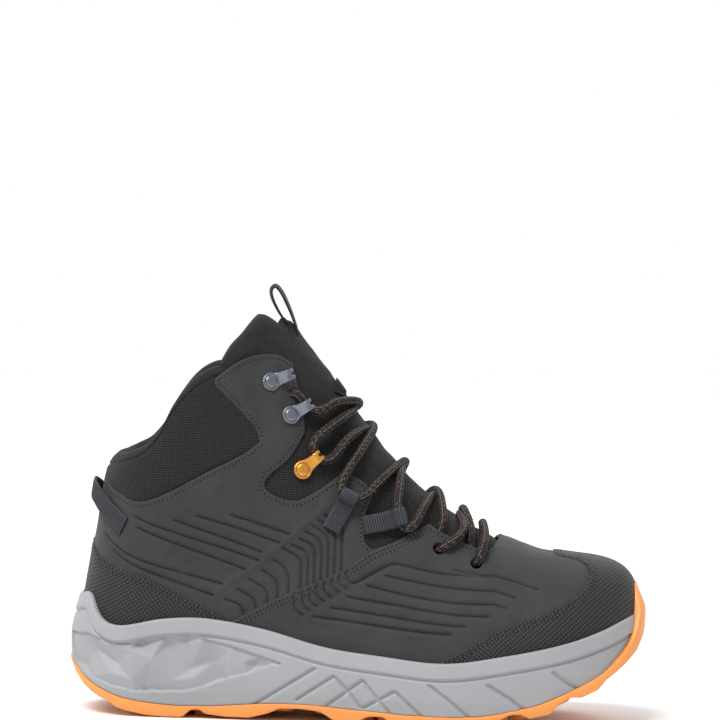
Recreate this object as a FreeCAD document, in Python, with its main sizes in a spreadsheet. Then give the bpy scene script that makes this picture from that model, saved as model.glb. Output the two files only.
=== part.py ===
"""Right-foot mid-height hiking boot, as a FreeCAD document.

Frame: +X runs from heel to toe, +Z up, the outer (lateral) side faces -Y.
The origin is on the ground under the middle of the boot. Everything is in millimetres.

The upper is a set of nested shells around one lasted form. A station X along the foot has
a floor height, a ridge height (roof of the toes, instep, then the shin line), a half-width
for each side and two exponents that set how square the section is. Every panel is a piece
of a shell, cut out by an outline drawn in side view.
"""
import FreeCAD, Part
import math
import os

V = FreeCAD.Vector
LATERAL, MEDIAL = -1, 1
SIDE_NAME = {LATERAL: "lateral", MEDIAL: "medial"}

doc = FreeCAD.newDocument("hiking_boot")

# ---------------------------------------------------------------- driving dimensions
SIZES = {
    "heel_end": -146.3,            # back of the form
    "toe_end": 145.0,              # front of the form
    "side_reach": 90.0,            # half-depth of every side-view cutter
    "leather": 1.8,
    "overlay": 1.1,
    "layer_gap": 0.1,
    "stiffener": 1.5,
    "bootie": 1.4,
    "collar_foam": 6.0,
    "collar_lining": 1.4,
    "tongue_cover": 1.2,
    "tongue_foam": 4.6,
    "board": 1.8,
    "footbed": 4.0,
    "shank_length": 96.0,
    "shank_width": 30.0,
    "shank_thick": 1.6,
    "lace_diameter": 4.8,
    "eyelet_bore": 6.4,
    "hook_base": 10.0,
    "hook_plate": 1.2,
    "hook_reach": 12.3,
    "rivet_head": 7.4,
    "rivet_rise": 1.3,
    "rivet_shank": 3.0,
    "webbing_width": 9.6,
    "webbing_thick": 1.7,
    "pull_tape_width": 11.0,
    "pull_tape": 1.2,
    "heel_strap": 1.4,
    "heel_strap_clear": 0.6,
    "heel_strap_reach": 5.2,
    "aglet_length": 20.0,
}
sheet = doc.addObject("Spreadsheet::Sheet", "Dimensions")
for row, (alias, value) in enumerate(SIZES.items(), 1):
    sheet.set("A%d" % row, alias)
    sheet.set("B%d" % row, str(value))
    sheet.setAlias("B%d" % row, alias)
doc.recompute()


def dim(alias):
    return float(getattr(sheet, alias))


HEEL_END = dim("heel_end")
TOE_END = dim("toe_end")

# ---------------------------------------------------------------- the lasted form
# Each table is (station X, value), joined by a smooth curve.
FLOOR = [(-146.3, 50), (-140, 41.5), (-128, 35.5), (-105, 33), (-60, 31), (-20, 27), (20, 22.5),
         (50, 21.5), (80, 25), (110, 34), (128, 42.5), (138, 50), (145, 58)]
RIDGE = [(-146.3, 347), (-100, 284), (-60, 234), (-36, 203), (-15, 176.5), (3, 152.5), (18, 135),
         (31, 122.5), (42, 114), (53, 106.5), (63, 101), (76, 96), (92, 90.5), (110, 88.2),
         (124, 86.6), (133, 84), (139, 80), (143, 74), (145, 66)]
HALF_WIDTH = {
    LATERAL: [(-146.3, 36), (-110, 35), (-60, 37.5), (-20, 42), (20, 49), (50, 53), (80, 52),
              (110, 47), (145, 42)],
    MEDIAL: [(-146.3, 36), (-110, 35), (-60, 36), (-20, 36.5), (20, 43), (50, 49.5), (80, 52),
             (110, 50), (145, 46)],
}
RISE_POWER = [(-146.3, 4.2), (-100, 3.6), (-60, 2.5), (-30, 1.8), (0, 1.65), (40, 1.75),
              (80, 2.2), (110, 2.6), (145, 2.6)]
CLOSE_POWER = [(-146.3, 0.55), (-30, 0.6), (0, 0.6), (40, 0.58), (80, 0.5), (145, 0.45)]
ANKLE_WIDTH = [(-146.3, 5), (-110, 6), (-60, 4), (-20, 0), (0, 0)]
HEEL_LEAN = 0.14
UNDER_FLOOR = 4.0                  # the forms run this far below the floor, where panels are cut


def through(table, x):
    """Smooth curve through the table's points, flat beyond its ends."""
    if x <= table[0][0]:
        return table[0][1]
    if x >= table[-1][0]:
        return table[-1][1]
    last = len(table) - 1
    k = max(i for i in range(last) if table[i][0] <= x)

    def slope(i):
        before, after = table[max(i - 1, 0)], table[min(i + 1, last)]
        return (after[1] - before[1]) / (after[0] - before[0])

    (x0, y0), (x1, y1) = table[k], table[k + 1]
    span = x1 - x0
    s = (x - x0) / span
    m0, m1 = slope(k) * span, slope(k + 1) * span
    return ((2 * s**3 - 3 * s**2 + 1) * y0 + (s**3 - 2 * s**2 + s) * m0
            + (-2 * s**3 + 3 * s**2) * y1 + (s**3 - s**2) * m1)


def smoothstep(a, b, x):
    s = min(1.0, max(0.0, (x - a) / (b - a)))
    return s * s * (3 - 2 * s)


def end_round(distance, radius, power=2.3):
    """Width factor that rounds the plan outline over radius from an end."""
    u = 1 - min(max(distance, 0.0), radius) / radius
    return (1 - u**power) ** (1 / power)


def toe_swing(X):
    """The toe turns towards the inner side."""
    return 5 * max(0.0, (X - 20) / 125) ** 1.5


def lean(X):
    """The back of the shaft leans forward with height."""
    return HEEL_LEAN * (1 - smoothstep(-125, -40, X))


def form_point(X, phi, side, off=0.0, reach=0.0):
    """Point of the form at station X, phi degrees up from the floor edge to the ridge."""
    floor = through(FLOOR, X) - UNDER_FLOOR
    ridge = through(RIDGE, X)
    slope = (through(RIDGE, X + 1) - through(RIDGE, X - 1)) / 2
    ridge += off * math.sqrt(1 + min(slope * slope, 4)) * min(1.0, (ridge - floor) / 40)
    rise = math.sin(math.radians(phi)) ** (2 / through(RISE_POWER, X))
    z = floor + rise * (ridge - floor)
    width = through(HALF_WIDTH[side], X) + through(ANKLE_WIDTH, X) * smoothstep(70, 130, z) + off
    width *= end_round(X - HEEL_END, 40) * end_round(TOE_END - X, 58)
    cosine = max(0.0, math.cos(math.radians(phi)))
    y = side * width * cosine ** (2 * through(CLOSE_POWER, X))
    x = X + (off + reach) * X / 146
    return V(x + lean(X) * (z - 60), y + toe_swing(X), z)


STATIONS = [HEEL_END + 0.3, -144.5, -141, -135, -126, -112, -90, -65, -40, -18, 3, 22, 42, 62, 82,
            102, 118, 130, 138, 142.5, 144.7]
SECTION_ANGLES = [0, 14, 28, 42, 56, 68, 78, 85, 90]


def section_wire(X, off, reach):
    """Arch of the form at one station, closed below."""
    lateral = [form_point(X, phi, LATERAL, off, reach) for phi in SECTION_ANGLES]
    medial = [form_point(X, phi, MEDIAL, off, reach) for phi in reversed(SECTION_ANGLES[:-1])]
    points = lateral + medial
    arch = Part.BSplineCurve()
    arch.interpolate(points)
    return Part.Wire([arch.toShape(), Part.makeLine(points[-1], points[0])])


def lasted_form(off, reach=0.0):
    wires = [section_wire(X, off, reach) for X in STATIONS]
    return Part.makeLoft(wires, True, False)


def on_form(x, z, side, lift=0.0):
    """Point and outward normal of the form where side view shows (x, z)."""
    X = x
    for _ in range(12):
        X = x - lean(X) * (z - 60)
    floor, ridge = through(FLOOR, X) - UNDER_FLOOR, through(RIDGE, X)
    rise = min(1.0, max(0.0, (z - floor) / (ridge - floor)))
    phi = math.degrees(math.asin(rise ** (through(RISE_POWER, X) / 2)))
    phi = min(phi, 88.0)
    here = form_point(X, phi, side)
    along = form_point(X + 0.5, phi, side) - form_point(X - 0.5, phi, side)
    up = form_point(X, phi + 0.5, side) - form_point(X, phi - 0.5, side)
    normal = along.cross(up)
    normal.normalize()
    if normal.y * side < 0:
        normal = normal * -1
    return here + normal * lift, normal


# ---------------------------------------------------------------- document helpers
parts = []


def publish(obj, name):
    """Mark an object as a sub-part: its label is its node name."""
    obj.Label = name
    parts.append(obj)
    return obj


def shape_feature(name, shape):
    obj = doc.addObject("Part::Feature", name)
    obj.Shape = shape
    return obj


def outline_face(runs):
    """Face in the XZ plane. A run of two points is a line, a longer run is a spline."""
    edges = []
    previous = V(runs[-1][-1][0], 0, runs[-1][-1][1])
    for run in runs:
        points = [V(x, 0, z) for x, z in run]
        if previous.distanceToPoint(points[0]) > 1e-6:
            edges.append(Part.makeLine(previous, points[0]))
        if len(points) == 2:
            edges.append(Part.makeLine(*points))
        else:
            curve = Part.BSplineCurve()
            curve.interpolate(points)
            edges.append(curve.toShape())
        previous = points[-1]
    return Part.Face(Part.Wire(edges))


FLOOR_STATIONS = [HEEL_END - 6, -146, -140, -128, -105, -60, -20, 20, 50, 80, 110, 128, 138, TOE_END,
                  TOE_END + 6]


def floor_line(up):
    return [(x, through(FLOOR, x) + up) for x in FLOOR_STATIONS]


def cutter(name, runs, sides=(LATERAL, MEDIAL), on_floor=False, beside=()):
    """Side-view outline swept across the boot, or across one half, less the outlines beside it."""
    face = outline_face(runs)
    for neighbour in beside:
        face = face.cut(outline_face(neighbour)).Faces[0]
    if on_floor:
        face = face.cut(outline_face([floor_line(0.0), [(160, -20), (-170, -20)]])).Faces[0]
    profile = shape_feature(name + "_outline", face)
    solid = doc.addObject("Part::Extrusion", name + "_cutter")
    solid.Base = profile
    solid.DirMode = "Custom"
    solid.Dir = V(0, 1, 0)
    solid.Solid = True
    solid.setExpression("LengthFwd", "Dimensions.side_reach" if MEDIAL in sides else "0 mm")
    solid.setExpression("LengthRev", "Dimensions.side_reach" if LATERAL in sides else "0 mm")
    return solid


def boolean(kind, name, base, tool):
    obj = doc.addObject("Part::" + kind, name)
    obj.Base = base
    obj.Tool = tool
    return obj


def shell(name, outer, inner, reach=0.0):
    """Shell between two offsets of the form."""
    outside = shape_feature(name + "_outside", lasted_form(outer, reach))
    inside = shape_feature(name + "_inside", lasted_form(inner, reach))
    return boolean("Cut", name, outside, inside)


def panel(name, band, runs, sides=(LATERAL, MEDIAL), beside=()):
    """Piece of a shell inside a side-view outline."""
    return boolean("Common", name, band, cutter(name, runs, sides, on_floor=True, beside=beside))


# ---------------------------------------------------------------- side-view outlines
BACK, BELOW = -165.0, 12.0
MIDSOLE_TOP = [(-149.6, 62.6), (-147.4, 63.6), (-145.2, 60.6), (-142, 55.4), (-138.2, 51.4),
               (-132.1, 48.4), (-124.6, 48.1), (-104.2, 52.2), (-82.4, 53.1), (-52.1, 48.6),
               (-19.3, 40.4), (9.8, 37.1), (42.7, 34.8), (75.1, 39.4), (107.3, 46), (128.8, 52.9),
               (146.5, 60.5)]
MIDSOLE_BACK = [(-152.8, 27.55), (-153.9, 41), (-153, 54), (-149.6, 62.6)]
OUTSOLE_TOP = [(-152.8, 27.5), (-149.8, 23.4), (-145.3, 18.7), (-137.6, 14.2), (-126.7, 10.1),
               (-104.9, 7), (-83.2, 6.5), (-50.9, 9), (-29.3, 9.4), (-7.6, 8.3), (27.4, 6.6),
               (59.8, 7.2), (86.7, 12.1), (108.1, 19.8), (129.4, 30.7), (141.5, 43), (146.8, 60.5)]
TOP_BACK = [(-137.5, 122.6), (-129.9, 117), (-118.9, 113), (-108.2, 116), (-86.8, 128),
            (-65.5, 139.4), (-56.6, 146.3)]
TOP_FLAP_BACK = [(-56.6, 146.3), (-59.4, 152.5), (-68.4, 163.1), (-80.8, 174.7)]
TOP_FLAP = [(-80.8, 174.7), (-80.8, 177.9), (-77.7, 180.7), (-66.3, 188.9), (-50.5, 191.5),
            (-40.8, 186.5)]
EYESTAY = [(-40.8, 186.5), (-38.4, 177), (-34.5, 162), (-32.9, 150.5)]
HOOK_WINDOW = [(-32.9, 150.5), (-40.9, 137.2), (-51.3, 127.9), (-53.2, 123), (-48.3, 118.4),
               (-37.1, 115.5), (-27.2, 120.1), (-13.7, 129.5)]
LOOP_TAB = [(-13.7, 129.5), (-7.8, 129.1), (-0.2, 124.1), (3.1, 118.9), (0.1, 110.9)]
LOOP_WINDOW = [(0.1, 110.9), (-0.2, 95.9), (3.4, 91.5)]
SEAM = [(3.4, 91.5), (-12.7, 79.8), (-33.7, 70.6), (-51.4, 62.1), (-68.4, 52.6)]
SEAM_FRONT = [(33.1, 103.8), (16, 95.6), (3.4, 89.9), (-12.7, 79.2), (-33.7, 70.1), (-51.4, 61.6),
              (-68, 52.0)]
VAMP_THROAT = [(33.1, 103.8), (40.8, 99.4), (53.9, 93.9), (62.8, 90.9), (68, 93.2), (67.5, 104)]
HEEL_CAP_TOP = [(-152, 92), (-144.1, 88.1), (-123.2, 76.2), (-106.8, 69.7), (-90.3, 62.1),
                (-73.9, 55), (-68.4, 50)]
TOE_CAP_EDGE = [(98, 92), (101.6, 87.9), (114.9, 84.9), (118.8, 80.6), (117.3, 75.2),
                (109.9, 68.5), (93.9, 60.4), (57.6, 44.1), (34, 34)]
COLLAR_TOP = [(-78.4, 185.4), (-87.3, 181.4), (-95.1, 174.8), (-102.7, 164.5), (-107.7, 154.8),
              (-115.4, 145), (-123.2, 140.6), (-134.7, 136), (-150, 133)]
TONGUE_TOP = [(-20, 196), (-34, 202.5), (-43, 205.5), (-50, 210.6), (-54.8, 212.6), (-58, 211.4),
              (-66.7, 200.6), (-73, 194), (-77.5, 186.5)]
TONGUE_BACK = [(-77.5, 186.5), (-72, 178.5), (-54, 158), (-45, 139), (-26, 114), (14, 98),
               (47, 91), (72, 90)]
COLLAR_FRONT = [(-60, 146), (-62, 157), (-70, 167), (-80.5, 178), (-78.9, 185.1)]


def raised(points, up):
    return [(x, z + up) for x, z in points]


def polyline_runs(points):
    return [[a, b] for a, b in zip(points, points[1:])]


# ---------------------------------------------------------------- sole
SOLE_HALF = {
    LATERAL: [(-154, 40), (-110, 40.5), (-60, 41.5), (-20, 46), (20, 53.5), (50, 57.8), (80, 56.6),
              (110, 52), (151, 47)],
    MEDIAL: [(-154, 40), (-110, 40.5), (-60, 40.5), (-20, 41), (20, 47.6), (50, 54.2), (80, 57),
             (110, 55.4), (151, 52)],
}
SOLE_STATIONS = [-148, -136, -120, -95, -60, -20, 20, 50, 80, 105, 122, 136, 146]


def sole_outline(back, front, inset, z):
    """Plan outline of the sole at one height."""
    def edge(side):
        points = []
        for X in SOLE_STATIONS:
            width = (through(SOLE_HALF[side], X) - inset)
            width *= end_round(X - back, 42) * end_round(front - X, 62)
            points.append(V(X, side * width + toe_swing(X), z))
        return points

    toe = V(front, toe_swing(front), z)
    heel = V(back, 0, z)
    curve = Part.BSplineCurve()
    curve.interpolate([heel] + edge(LATERAL) + [toe] + edge(MEDIAL)[::-1], PeriodicFlag=True)
    return Part.Wire([curve.toShape()])


def sole_block(name, back, front, inset_low):
    """Block of the sole's plan outline, full at mid-height and narrower at the ground."""
    sections = [(-3, inset_low), (14, 1.0), (30, 0.0), (50, 0.3), (80, 1.5)]
    wires = [sole_outline(back, front, inset, z) for z, inset in sections]
    return shape_feature(name, Part.makeLoft(wires, True, True))


midsole_block = sole_block("midsole_block", -153.6, 146.6, 4)
midsole_profile = cutter("midsole", [raised(OUTSOLE_TOP, 0.05), MIDSOLE_TOP[::-1], MIDSOLE_BACK[::-1]])
upper_bed = shape_feature("upper_bed", lasted_form(dim("overlay") + 0.3))
midsole_raw = boolean("Common", "midsole_raw", midsole_block, midsole_profile)
midsole_cup = boolean("Cut", "midsole_cup", midsole_raw, upper_bed)

GROUND = [(-152.8, 27.5), (-151.2, 20.3), (-147.8, 15.4), (-140, 9.4), (-129.3, 4.2), (-118, 0.6), (-112, 0)]
GROUND_WAIST = [(-82, 0), (-70, 1.6), (-45, 3.6), (-25, 3.8), (-5, 1.6), (8, 0)]
GROUND_TOE = [(68, 0), (80, 3.2), (92, 7), (108, 13.2), (124, 21.5), (137.1, 31.5), (146, 42),
              (150.8, 55)]
LUG_DEPTH = 4.0
# Each row of lugs: (station of its back edge, length along the foot, skew)
TREAD_ROWS = [(-143, 12, 0.12), (-125, 12, 0.1), (-107, 12, 0.1), (-89, 11, 0.1), (-66, 9, 0.05),
              (-44, 9, 0.0), (-22, 9, -0.05), (0, 10, -0.16), (17, 11, -0.2), (35, 11, -0.22),
              (53, 11, -0.22), (71, 11, -0.22), (88, 10, -0.2), (104, 9, -0.18)]
ground_runs = [GROUND, [GROUND[-1], GROUND_WAIST[0]], GROUND_WAIST,
               [GROUND_WAIST[-1], GROUND_TOE[0]], GROUND_TOE]
BUMPER_TOP = [(150.8, 55), (150.5, 66), (148.7, 72.3), (145.2, 75)]
BUMPER_BACK = [(145.2, 75), (144.2, 70.5), (142.2, 65), (140, 60.45)]
outsole_block = sole_block("outsole_block", -153.9, 151, 4.6)
outsole_profile = cutter("outsole", ground_runs + [BUMPER_TOP, BUMPER_BACK,
                                                   [BUMPER_BACK[-1], OUTSOLE_TOP[-1]],
                                                   OUTSOLE_TOP[::-1]])
outsole_raw = boolean("Common", "outsole_raw", outsole_block, outsole_profile)


def lug_gaps():
    """Everything between the lugs, down to the sheet: the tread's grooves as one solid."""
    sheet_level = [(x, z + LUG_DEPTH) for run in ground_runs for x, z in run[:-1]]
    sheet_level.append((150.8, 55 + LUG_DEPTH))
    sheet_level = [p for p in sheet_level if p[0] < 121]
    body = outline_face([sheet_level + [(121, 24.4)], [(121, 24.4), (121, -9)], [(121, -9), (-165, -9)],
                         [(-165, -9), sheet_level[0]]])
    body.translate(V(0, -80, 0))
    below = body.extrude(V(0, 160, 0))
    lugs = []
    for X, width, skew in TREAD_ROWS:
        for side in (LATERAL, MEDIAL):
            centre = toe_swing(X)
            half = through(SOLE_HALF[side], X) * end_round(X + 154, 42) * end_round(151 - X, 62)
            inner, split, outer = 3.0, half * 0.52, half + 10
            for y0, y1 in ((inner, split - 2.4), (split + 2.4, outer)):
                corners = [(X + skew * y0, y0), (X + skew * y1, y1),
                           (X + width + skew * y1 * 0.6, y1), (X + width + skew * y0 * 0.6, y0)]
                points = [V(px, centre + side * py, -12) for px, py in corners]
                face = Part.Face(Part.makePolygon(points + [points[0]]))
                lugs.append(face.extrude(V(0, 0, 60)))
    return below.cut(lugs)


tread_gaps = shape_feature("tread_gaps", lug_gaps())
outsole_tread = boolean("Cut", "outsole_tread", outsole_raw, tread_gaps)
publish(boolean("Cut", "outsole", outsole_tread, upper_bed), "outsole")

shank_body = doc.addObject("PartDesign::Body", "shank")
shank_plane = next(f for f in shank_body.Origin.OriginFeatures if f.Role == "XY_Plane")
shank_sketch = shank_body.newObject("Sketcher::SketchObject", "shank_sketch")
shank_sketch.AttachmentSupport = (shank_plane, [""])
shank_sketch.MapMode = "FlatFace"
SHANK_MIDDLE = (-42.0, 0.0)
SHANK_LEVEL = 22.0
half_len, half_wid = dim("shank_length") / 2, dim("shank_width") / 2
corners = [V(-half_len, -half_wid, 0), V(half_len, -half_wid, 0), V(half_len, half_wid, 0),
           V(-half_len, half_wid, 0)]
for start, end in zip(corners, corners[1:] + corners[:1]):
    shank_sketch.addGeometry(Part.LineSegment(start, end), False)
shank_pad = shank_body.newObject("PartDesign::Pad", "shank_pad")
shank_pad.Profile = shank_sketch
shank_pad.setExpression("Length", "Dimensions.shank_thick")
shank_body.Placement = FreeCAD.Placement(V(SHANK_MIDDLE[0], SHANK_MIDDLE[1], SHANK_LEVEL),
                                         FreeCAD.Rotation(V(0, 1, 0), 2.0))
shank_body.Tip = shank_pad
publish(shank_body, "shank")

shank_pocket = doc.addObject("Part::Box", "shank_pocket")
shank_pocket.setExpression("Length", "Dimensions.shank_length + 0.2")
shank_pocket.setExpression("Width", "Dimensions.shank_width + 0.2")
shank_pocket.setExpression("Height", "Dimensions.shank_thick + 0.2")
pocket_corner = V(-half_len - 0.1, -half_wid - 0.1, -0.1)
shank_pocket.Placement = shank_body.Placement.multiply(
    FreeCAD.Placement(pocket_corner, FreeCAD.Rotation()))
publish(boolean("Cut", "midsole", midsole_cup, shank_pocket), "midsole")


def floor_slab(name, bottom, top):
    """Slab that follows the floor between two heights above it."""
    return cutter(name, [floor_line(bottom), floor_line(top)[::-1]])


leather = dim("leather")
gap = dim("layer_gap")
stiff_out = -leather - gap
stiff_in = stiff_out - dim("stiffener")
bootie_out = stiff_in - gap
bootie_in = bootie_out - dim("bootie")
foam_in = stiff_out - dim("collar_foam")
collar_lining_out = foam_in - gap
collar_lining_in = collar_lining_out - dim("collar_lining")

board_form = shape_feature("board_form", lasted_form(bootie_in - 0.15))
publish(boolean("Common", "insole_board", board_form,
                floor_slab("insole_board", 0.0, dim("board"))), "insole_board")
FOOTBED_CLEAR = 0.9
bed_low = dim("board") + 0.1
footbed_form = shape_feature("footbed_form", lasted_form(bootie_in - FOOTBED_CLEAR))
publish(boolean("Common", "footbed", footbed_form,
                floor_slab("footbed", bed_low, bed_low + dim("footbed"))), "footbed")

# ---------------------------------------------------------------- upper
leather_shell = shell("leather_shell", 0, -leather)
overlay_shell = shell("overlay_shell", dim("overlay"), 0.05)
stiffener_shell = shell("stiffener_shell", stiff_out, stiff_in)
bootie_shell = shell("bootie_shell", bootie_out, bootie_in)
foam_shell = shell("foam_shell", stiff_out, foam_in)
collar_lining_shell = shell("collar_lining_shell", collar_lining_out, collar_lining_in)
textile_shell = shell("textile_shell", -0.5, -leather)

# hooks and webbing loops: (base, tip) in side view
HOOKS = {"hook_top": ((-52.2, 177.1), (-40.6, 181.2)),
         "hook_second": ((-41.1, 160), (-30.6, 165.6)),
         "ankle_hook": ((-33.9, 131.6), (-25.6, 139.2))}
LOOPS = {"lace_loop_upper": ((-17.1, 102.5), (-9.2, 117.5)),
         "lace_loop_lower": ((1.2, 103.6), (17.5, 106.5))}


def frame_at(base, tip, side):
    """Point, forward, upward and outward directions of a fitting on the form."""
    point, normal = on_form(base[0], base[1], side)
    ahead = on_form(tip[0], tip[1], side)[0] - point
    ahead = ahead - normal * ahead.dot(normal)
    ahead.normalize()
    across = normal.cross(ahead)
    if across.z < 0:
        across = across * -1
    return point, ahead, across, normal


def placed(shape, base, tip, side):
    """Shape drawn with X forward, Y across and Z outward, set on the form."""
    point, ahead, _, normal = frame_at(base, tip, side)
    across = normal.cross(ahead)
    matrix = FreeCAD.Matrix(ahead.x, across.x, normal.x, point.x,
                            ahead.y, across.y, normal.y, point.y,
                            ahead.z, across.z, normal.z, point.z, 0, 0, 0, 1)
    moved = shape.copy()
    moved.Placement = FreeCAD.Placement(matrix)
    return moved


def rivet_drill_shapes():
    shapes = []
    for base, tip in HOOKS.values():
        for side in (LATERAL, MEDIAL):
            point, normal = on_form(base[0], base[1], side)
            shapes.append(Part.makeCylinder(dim("rivet_shank") / 2 + 0.05, 8, point - normal * 4, normal))
    return Part.makeCompound(shapes)


rivet_drills = shape_feature("rivet_drills", rivet_drill_shapes())
quarter_runs = [[(BACK, BELOW), (BACK, 122.6)], [(BACK, 122.6), TOP_BACK[0]], TOP_BACK,
                TOP_FLAP_BACK, TOP_FLAP, EYESTAY, HOOK_WINDOW, LOOP_TAB, LOOP_WINDOW, SEAM,
                [SEAM[-1], (-68.4, BELOW)]]
for side in (LATERAL, MEDIAL):
    name = "quarter_" + SIDE_NAME[side]
    blank = panel(name + "_blank", leather_shell, quarter_runs, (side,))
    publish(boolean("Cut", name, blank, rivet_drills), name)


def eyelet_drill(points):
    """Drills square to the surface for the lace eyelets, both sides."""
    drills = []
    for x, z in points:
        for side in (LATERAL, MEDIAL):
            point, normal = on_form(x, z, side)
            drills.append(Part.makeCylinder(dim("eyelet_bore") / 2, 24, point - normal * 14, normal))
    return Part.makeCompound(drills)


EYELETS = [(58.7, 84.5), (38.9, 91.9)]
eyelet_drills = shape_feature("eyelet_drills", eyelet_drill(EYELETS))
vamp_runs = [VAMP_THROAT, [VAMP_THROAT[-1], (160, 104)], [(160, 104), (160, BELOW)],
             [(160, BELOW), (-68, BELOW)], [(-68, BELOW), SEAM_FRONT[-1]], SEAM_FRONT[::-1]]
vamp_blank = panel("vamp_blank", leather_shell, vamp_runs)
publish(boolean("Cut", "vamp", vamp_blank, eyelet_drills), "vamp")
publish(panel("toe_cap", overlay_shell,
              [TOE_CAP_EDGE, [TOE_CAP_EDGE[-1], (34, BELOW)], [(34, BELOW), (160, BELOW)],
               [(160, BELOW), (160, 92)], [(160, 92), TOE_CAP_EDGE[0]]]), "toe_cap")
publish(panel("heel_cap", overlay_shell,
              [HEEL_CAP_TOP, [HEEL_CAP_TOP[-1], (-68.4, BELOW)],
               [(-68.4, BELOW), (-152, BELOW)], [(-152, BELOW), HEEL_CAP_TOP[0]]]), "heel_cap")
publish(panel("toe_puff", stiffener_shell,
              polyline_runs([(100, 100), (92, 70), (88, BELOW), (160, BELOW), (160, 100), (100, 100)])),
        "toe_puff")
publish(panel("heel_counter", stiffener_shell,
              polyline_runs([(BACK, 92), (-128, 90), (-100, 76), (-72, 56), (-66, BELOW),
                             (BACK, BELOW), (BACK, 92)])), "heel_counter")

collar_runs = [COLLAR_TOP, [COLLAR_TOP[-1], (BACK, 133)], [(BACK, 133), (BACK, 122.8)],
               [(BACK, 122.8), (-137.5, 122.8)], raised(TOP_BACK, 0.2),
               raised(TOP_FLAP_BACK, 0.2), [(-80.8, 174.9), (-80.8, 178.1)],
               [(-80.8, 178.1), COLLAR_TOP[0]]]
publish(panel("collar_textile", textile_shell, collar_runs), "collar_textile")
pad_runs = [COLLAR_TOP, [COLLAR_TOP[-1], (BACK, 133)], [(BACK, 133), (BACK, 98)],
            [(BACK, 98), (-96, 96)], [(-96, 96), COLLAR_FRONT[0]], COLLAR_FRONT,
            [COLLAR_FRONT[-1], COLLAR_TOP[0]]]
publish(panel("collar_foam", foam_shell, pad_runs), "collar_foam")
publish(panel("collar_lining", collar_lining_shell, pad_runs), "collar_lining")
bootie_runs = polyline_runs([(BACK, 97.5), (-96, 95.5), (-64, 118), (-46, 114), (-26, 104), (14, 91),
                             (47, 84.5), (72, 84), (90, 104), (160, 104), (160, BELOW),
                             (BACK, BELOW), (BACK, 97.5)])
bootie_blank = panel("bootie_blank", bootie_shell, bootie_runs)
publish(boolean("Cut", "bootie_lining", bootie_blank, eyelet_drills), "bootie_lining")

HOOK_PATCH = raised(HOOK_WINDOW, 0.15)
LOOP_PATCH = [(0.3, 111), (0.0, 95.9), (3.6, 91.8), (16, 95.9), (33.1, 104)]
for side in (LATERAL, MEDIAL):
    name = "eyestay_textile_" + SIDE_NAME[side]
    hook_blank = panel(name + "_hook_blank", textile_shell,
                       [HOOK_PATCH, [HOOK_PATCH[-1], HOOK_PATCH[0]]], (side,), [quarter_runs])
    hook_patch = boolean("Cut", name + "_hook", hook_blank, rivet_drills)
    loop_patch = panel(name + "_loop", textile_shell,
                       [LOOP_PATCH, [LOOP_PATCH[-1], (20, 119)], [(20, 119), (3.4, 119.5)],
                        [(3.4, 119.5), LOOP_PATCH[0]]], (side,), [quarter_runs, vamp_runs])
    both = doc.addObject("Part::Compound", name)
    both.Links = [hook_patch, loop_patch]
    publish(both, name)

# ---------------------------------------------------------------- tongue
tongue_runs = [TONGUE_TOP, TONGUE_BACK, [TONGUE_BACK[-1], (72, 125)], [(72, 125), TONGUE_TOP[0]]]
cover_out = -2.0
cover_in = cover_out - dim("tongue_cover")
tongue_foam_in = cover_in - dim("tongue_foam")
cover_shell = shell("tongue_cover_shell", cover_out, cover_in)
tongue_foam_shell = shell("tongue_foam_shell", cover_in - 0.05, tongue_foam_in)
tongue_lining_shell = shell("tongue_lining_shell", tongue_foam_in - 0.05, tongue_foam_in - 1.1)
publish(panel("tongue_cover", cover_shell, tongue_runs), "tongue_cover")
publish(panel("tongue_foam", tongue_foam_shell, tongue_runs), "tongue_foam")
publish(panel("tongue_lining", tongue_lining_shell, tongue_runs), "tongue_lining")

# ---------------------------------------------------------------- hooks, rivets, loops
SEAT = 0.08                        # fittings sit this far off the leather
plate = dim("hook_plate")
lace_radius = dim("lace_diameter") / 2
HOOK_THROAT = 5.8                  # clear height under the arm
ARM_HALF = 2.6


def prism(points, half_width):
    """Polygon in the fitting's forward/outward plane, drawn out across it."""
    corners = [V(a, -half_width, c) for a, c in points]
    return Part.Face(Part.makePolygon(corners + [corners[0]])).extrude(V(0, 2 * half_width, 0))


def hook_shape():
    base = Part.makeCylinder(dim("hook_base") / 2, plate, V(0, 0, SEAT))
    reach = dim("hook_reach")
    top = HOOK_THROAT + plate
    arm = prism([(2.5, SEAT), (6.0, SEAT), (7.3, HOOK_THROAT), (reach - 1.6, HOOK_THROAT + 0.3),
                 (reach - 0.9, HOOK_THROAT - 0.3), (reach + 0.3, HOOK_THROAT - 0.1), (reach, top + 0.2),
                 (6.2, top), (4.7, SEAT + plate), (2.5, SEAT + plate)], ARM_HALF)
    notch = Part.makeBox(1.6, 1.6, 6, V(reach - 0.9, -0.8, 2.5))
    bore = Part.makeCylinder(dim("rivet_shank") / 2 + 0.05, 4, V(0, 0, -1))
    return base.fuse(arm).cut(notch).cut(bore).removeSplitter()


hook = hook_shape()
for hook_name, (base, tip) in HOOKS.items():
    for side in (LATERAL, MEDIAL):
        name = "%s_%s" % (hook_name, SIDE_NAME[side])
        publish(shape_feature(name, placed(hook, base, tip, side)), name)

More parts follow.
